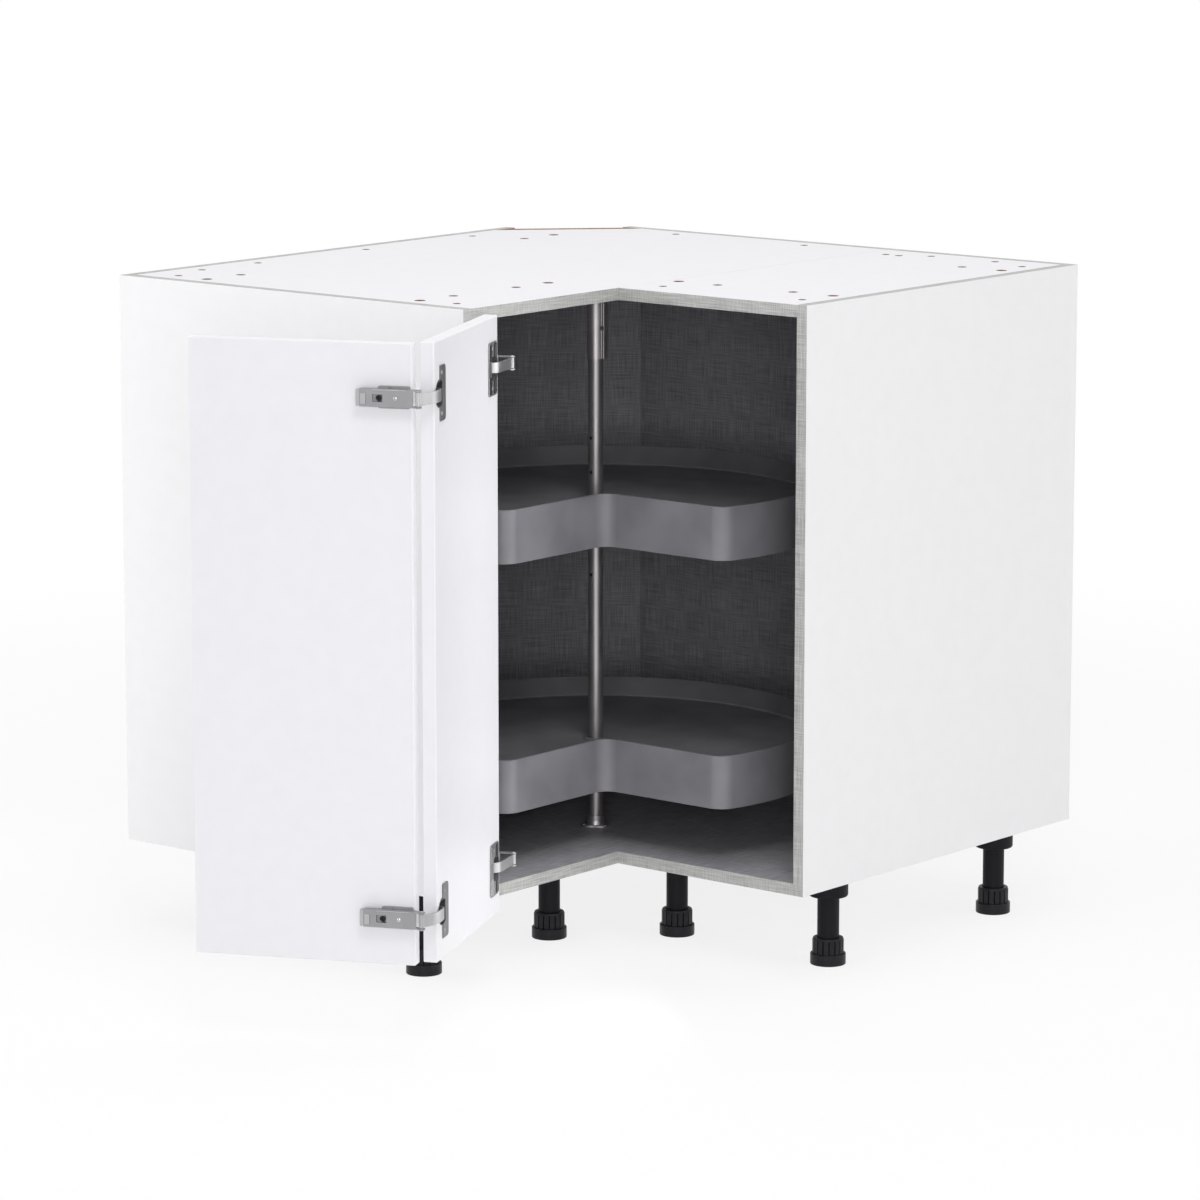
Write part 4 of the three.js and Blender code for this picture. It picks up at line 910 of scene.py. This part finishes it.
def block(bm, spot, runs, prouds, heights):
    """A block between two limits each way."""
    corner = [bm.verts.new(spot(r, p, h)) for r in runs for p in prouds for h in heights]
    for ids in ((0, 1, 3, 2), (4, 6, 7, 5), (0, 4, 5, 1), (2, 3, 7, 6), (0, 2, 6, 4), (1, 5, 7, 3)):
        bm.faces.new([corner[i] for i in ids])


def cutter(name, bm, material):
    """A mesh to cut with. The material is for the walls of the cut."""
    bmesh.ops.recalc_face_normals(bm, faces=bm.faces)
    mesh = bpy.data.meshes.new(name)
    bm.to_mesh(mesh)
    bm.free()
    mesh.materials.append(material)
    return mesh


A_ALONG, A_OUT = (0.4226, -0.9063), (0.9063, 0.4226)
CUP_WINGS = ((-32, -10), (10, 32))       # below and above the cup's mouth
GROOVES, GROOVE_CUT = ((9.5, 14.5), (17, 22)), (1.05, 3)
# The raised bands take the bright copy of the nickel: a painted highlight on the cup's plate. The
# grooves' walls take the near-black: painted shade.
BAND, BAND_RISE, BAND_HIGHLIGHT = (33, 44), (1.3, 2.0), 2   # the bands take the cup's third material
CUP_SCREW_RUNS, CUP_SCREW_UP, CUP_SCREW_PROUD = (28, 255), 25, 1.5
PLATE_SCREW, PLATE_SCREW_UP = (560, -894.7), 17
on_leaf_a = leaf_frame(origin=(656.06, -906.45), along=A_ALONG, out=A_OUT)
# The links and levers take the pale copy of the nickel as painted light, and the plate screws take
# the bright copy as painted highlight.
for level, height in HINGE_HEIGHTS.items():
    for part, body, steel in (("hinge_plate", "carcass", nickel), ("hinge_arm", "carcass", nickel),
                              ("hinge_link", f"link_{level}", pale_nickel_painted_light),
                              ("hinge_lever", f"lever_{level}", pale_nickel_painted_light),
                              ("hinge_cup", "door_a", nickel)):
        bm = joined_up(f"{part}_{level}")
        ease(bm, STEEL_EASE)
        steels = [steel, bore_painted_shade, bright_nickel_painted_highlight] if part == "hinge_cup" else [steel]
        piece = add_piece(f"{part}_{level}_steel", bm, steels)
        if part == "hinge_cup":
            for runs in GROOVES:
                for ends in CUP_WINGS:
                    bm = bmesh.new()
                    block(bm, on_leaf_a, runs, GROOVE_CUT, [height + end for end in ends])
                    bored(piece, [cutter("groove", bm, bore_painted_shade)])
            bm = bmesh.new()
            bm.from_mesh(piece.data)
            plate_faces = len(bm.faces)
            for ends in CUP_WINGS:
                block(bm, on_leaf_a, BAND, BAND_RISE, [height + end for end in ends])
            bm.faces.ensure_lookup_table()
            for face in bm.faces[plate_faces:]:
                face.material_index = BAND_HIGHLIGHT
            bmesh.ops.recalc_face_normals(bm, faces=bm.faces)
            bm.to_mesh(piece.data)
            bm.free()
        stand_for(smooth(piece), body, "hinge_nickel", f"{part}_{level}")
    cup_screws = [(on_leaf_a(run, CUP_SCREW_PROUD, height + up), (*A_OUT, 0))
                  for run in CUP_SCREW_RUNS for up in (-CUP_SCREW_UP, CUP_SCREW_UP)]
    screwed(f"cup_screws_{level}", "door_a", "hinge_nickel", cup_screws, nickel,
            radius=0.0028, height=0.0010)
    plate_screws = [(at(*PLATE_SCREW, height + up), (0, 1, 0))
                    for up in (-PLATE_SCREW_UP, PLATE_SCREW_UP)]
    screwed(f"plate_screws_{level}", "carcass", "hinge_nickel", plate_screws, bright_nickel_painted_highlight,
            radius=0.0034, height=0.0015)
# The base screws take the bright copy of the nickel: painted highlight.
screwed("base_screws", "carcass", "pole_chrome", [(spot, (0, 0, 1)) for spot in base_screws],
        bright_nickel_painted_highlight, radius=0.0032, height=0.0012)

# ---------------------------------------------------------------- bi-fold hinges
# The same plated steel between the leaves: a cup and a bowed link on leaf A, and a plate with a
# long clip-on arm on leaf B. The arm has a cam screw in a slot, a rivet and a clip lever.
B_ALONG, B_OUT = (-0.9063, -0.4226), (0.4226, -0.9063)
PLATE_WIDTH = 0.76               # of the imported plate's
CUP_WING, CUP_MIDDLE, CUP_LIP = 261, 258, 17.2   # the cup's wings end and its round lip goes on
CUT_PAST, CUT_UP, CUT_FROM, CUT_TO = 290, 40, 0.2, 4    # a corner's cutter goes well past it
LIP_ARC = 16                     # steps
SLOT = ((33, 45.5), (11, 16), (-4.6, 4.6))
# The clip lever's two blocks, and the raised lip on the arm.
CLIP = (((54.0, 60.5), (9, 15.4), (-7.5, 5.5)), ((62.0, 66.8), (4, 13.7), (-10.2, 10.2)),
        ((4, 46), (13.2, 14.9), (9.2, 10.6)))
on_leaf_b = leaf_frame(origin=(765.26, -1191.50), along=B_ALONG, out=B_OUT)
# The fold cups take the dark copy of the nickel as painted shade, the links and clips the pale copy
# as painted light, the rivet the bright copy as painted highlight, and the arm's slot and cam screw
# the near-black as painted shade.
for level, height in HINGE_HEIGHTS.items():
    for part, body, steel in (("fold_cup", "door_a", dark_nickel_painted_shade),
                              ("fold_link", "door_a", pale_nickel_painted_light),
                              ("fold_plate", "door_b", nickel), ("fold_arm", "door_b", nickel)):
        bm = joined_up(f"{part}_{level}")
        if part == "fold_plate":
            middle = at(0, 0, height).z
            for vert in bm.verts:
                vert.co.z = middle + (vert.co.z - middle) * PLATE_WIDTH
        ease(bm, STEEL_EASE)
        piece = add_piece(f"{part}_{level}_steel", bm, [steel, bore_painted_shade])
        if part == "fold_cup":
            lip = arc(CUP_MIDDLE, 0, CUP_LIP, 0, acos((CUP_WING - CUP_MIDDLE) / CUP_LIP), LIP_ARC)
            for side in (1, -1):
                corner = [(CUP_WING, CUT_UP), (CUT_PAST, CUT_UP), (CUT_PAST, 0)] + lip
                bm = bmesh.new()
                near, far = ([bm.verts.new(on_leaf_a(run, proud, height + side * up))
                              for run, up in corner] for proud in (CUT_FROM, CUT_TO))
                bm.faces.new(near)
                bm.faces.new(far)
                span(bm, near, far)
                bored(piece, [cutter("corner", bm, steel)])
        if part == "fold_arm":
            bm = bmesh.new()
            block(bm, on_leaf_b, *SLOT[:2], [height + end for end in SLOT[2]])
            bored(piece, [cutter("slot", bm, bore_painted_shade)])
        stand_for(smooth(piece), body, "hinge_nickel", f"{part}_{level}")
    for name, spot, steel, radius, dome in (
        ("cam_screw", on_leaf_b(38.0, 12.4, height), bore_painted_shade, 0.0036, 0.0012),
        ("rivet", on_leaf_b(16.9, 13.8, height), bright_nickel_painted_highlight, 0.0024, 0.0008),
    ):
        screwed(f"{name}_{level}", "door_b", "hinge_nickel", [(spot, (*B_OUT, 0))], steel,
                radius=radius, height=dome)
    bm = bmesh.new()
    for runs, prouds, ends in CLIP:
        block(bm, on_leaf_b, runs, prouds, [height + end for end in ends])
    bmesh.ops.recalc_face_normals(bm, faces=bm.faces)
    ease(bm, CLIP_EASE, steps=3)
    clip = smooth(add_piece(f"clip_{level}", bm, [pale_nickel_painted_light]))
    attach(clip, "door_b")

# ---------------------------------------------------------------- floor and light
# A plain white studio with broad soft lamps. The floor is matt paper that keeps the cabinet's
# shadow near it and fades into the white of the backdrop.
def looked_at(tree):
    """One for the rays that see or mirror the studio, and nothing for the light that it gives."""
    rays = tree.nodes.new("ShaderNodeLightPath").outputs
    mirrored = sums(tree, "MAXIMUM", rays["Is Glossy Ray"], rays["Is Transmission Ray"])
    return sums(tree, "MAXIMUM", rays["Is Camera Ray"], mirrored)


paper, paper_tree, paper_shader = new_material("studio_paper", (0.95, 0.95, 0.95), roughness=0.9)
glow = add_node(paper_tree, "ShaderNodeEmission", {"Strength": 1.0})
spot = add_node(paper_tree, "ShaderNodeTexCoord").outputs["Object"]
away = add_node(paper_tree, "ShaderNodeVectorMath", {0: spot}, operation="LENGTH")
fade = add_node(paper_tree, "ShaderNodeMapRange", {
    "Value": away.outputs["Value"], "From Min": 0.9, "From Max": 2.6, "To Min": 0.8, "To Max": 1.0,
}, interpolation_type="SMOOTHSTEP")
share = sums(paper_tree, "MULTIPLY", looked_at(paper_tree), fade.outputs["Result"])
blend = add_node(paper_tree, "ShaderNodeMixShader", {
    "Fac": share, 1: paper_shader.outputs["BSDF"], 2: glow.outputs["Emission"],
})
paper_out = paper_tree.nodes["Material Output"]
paper_tree.links.new(blend.outputs["Shader"], paper_out.inputs["Surface"])

FLOOR_HALF = 14.0
AMBIENT = 0.45                   # the sky's strength as a light
bm = bmesh.new()
corners = [bm.verts.new((x * FLOOR_HALF, y * FLOOR_HALF, 0))
           for x, y in ((-1, -1), (1, -1), (1, 1), (-1, 1))]
bm.faces.new(corners)
ground = add_piece("ground", bm, [paper])

world = bpy.data.worlds.new("studio")
bpy.context.scene.world = world
world.use_nodes = True
sky = world.node_tree
back = sky.nodes["Background"]
shone = {"Factor": looked_at(sky), "A": AMBIENT, "B": 1.0}
strength = add_node(sky, "ShaderNodeMix", shone, data_type="FLOAT")
sky.links.new(strength.outputs["Result"], back.inputs["Strength"])
back.inputs["Color"].default_value = (1, 1, 1, 1)


def lamp(name, spot, target, size, power, height=0.0):
    """A soft lamp that looks at a point. It is square unless it is given a height."""
    light = bpy.data.lights.new(name, "AREA")
    light.shape = "RECTANGLE" if height else "SQUARE"
    light.size = size
    light.size_y = height
    light.energy = power
    lit = bpy.data.objects.new(name, light)
    bpy.context.scene.collection.objects.link(lit)
    lit.location = spot
    lit.rotation_euler = (Vector(target) - Vector(spot)).to_track_quat("-Z", "Y").to_euler()
    return lit


lamp("front", (4.6, -5.55, 1.4), (0.4, -0.4, 0.45), size=1.7, power=79)
lamp("key", (3.3, -2.9, 4.4), (0.4, -0.4, 0.45), size=1.5, power=50)
lamp("left", (-4.6, -3.8, 1.6), (0.3, -0.75, 0.5), size=2.0, power=116)
lamp("side", (5.2, 1.2, 1.4), (0.5, -0.8, 0.5), size=2.0, power=35)
lamp("above", (0.4, -0.4, 4.2), (0.4, -0.4, 0.9), size=2.4, power=45)
door_light = lamp("door_light", (0.77, -0.66, 0.5), (0.593, -0.874, 0.5), size=0.22, power=0.75,
                  height=0.9)
door_light.visible_camera = False

bpy.context.scene.view_settings.view_transform = "Standard"
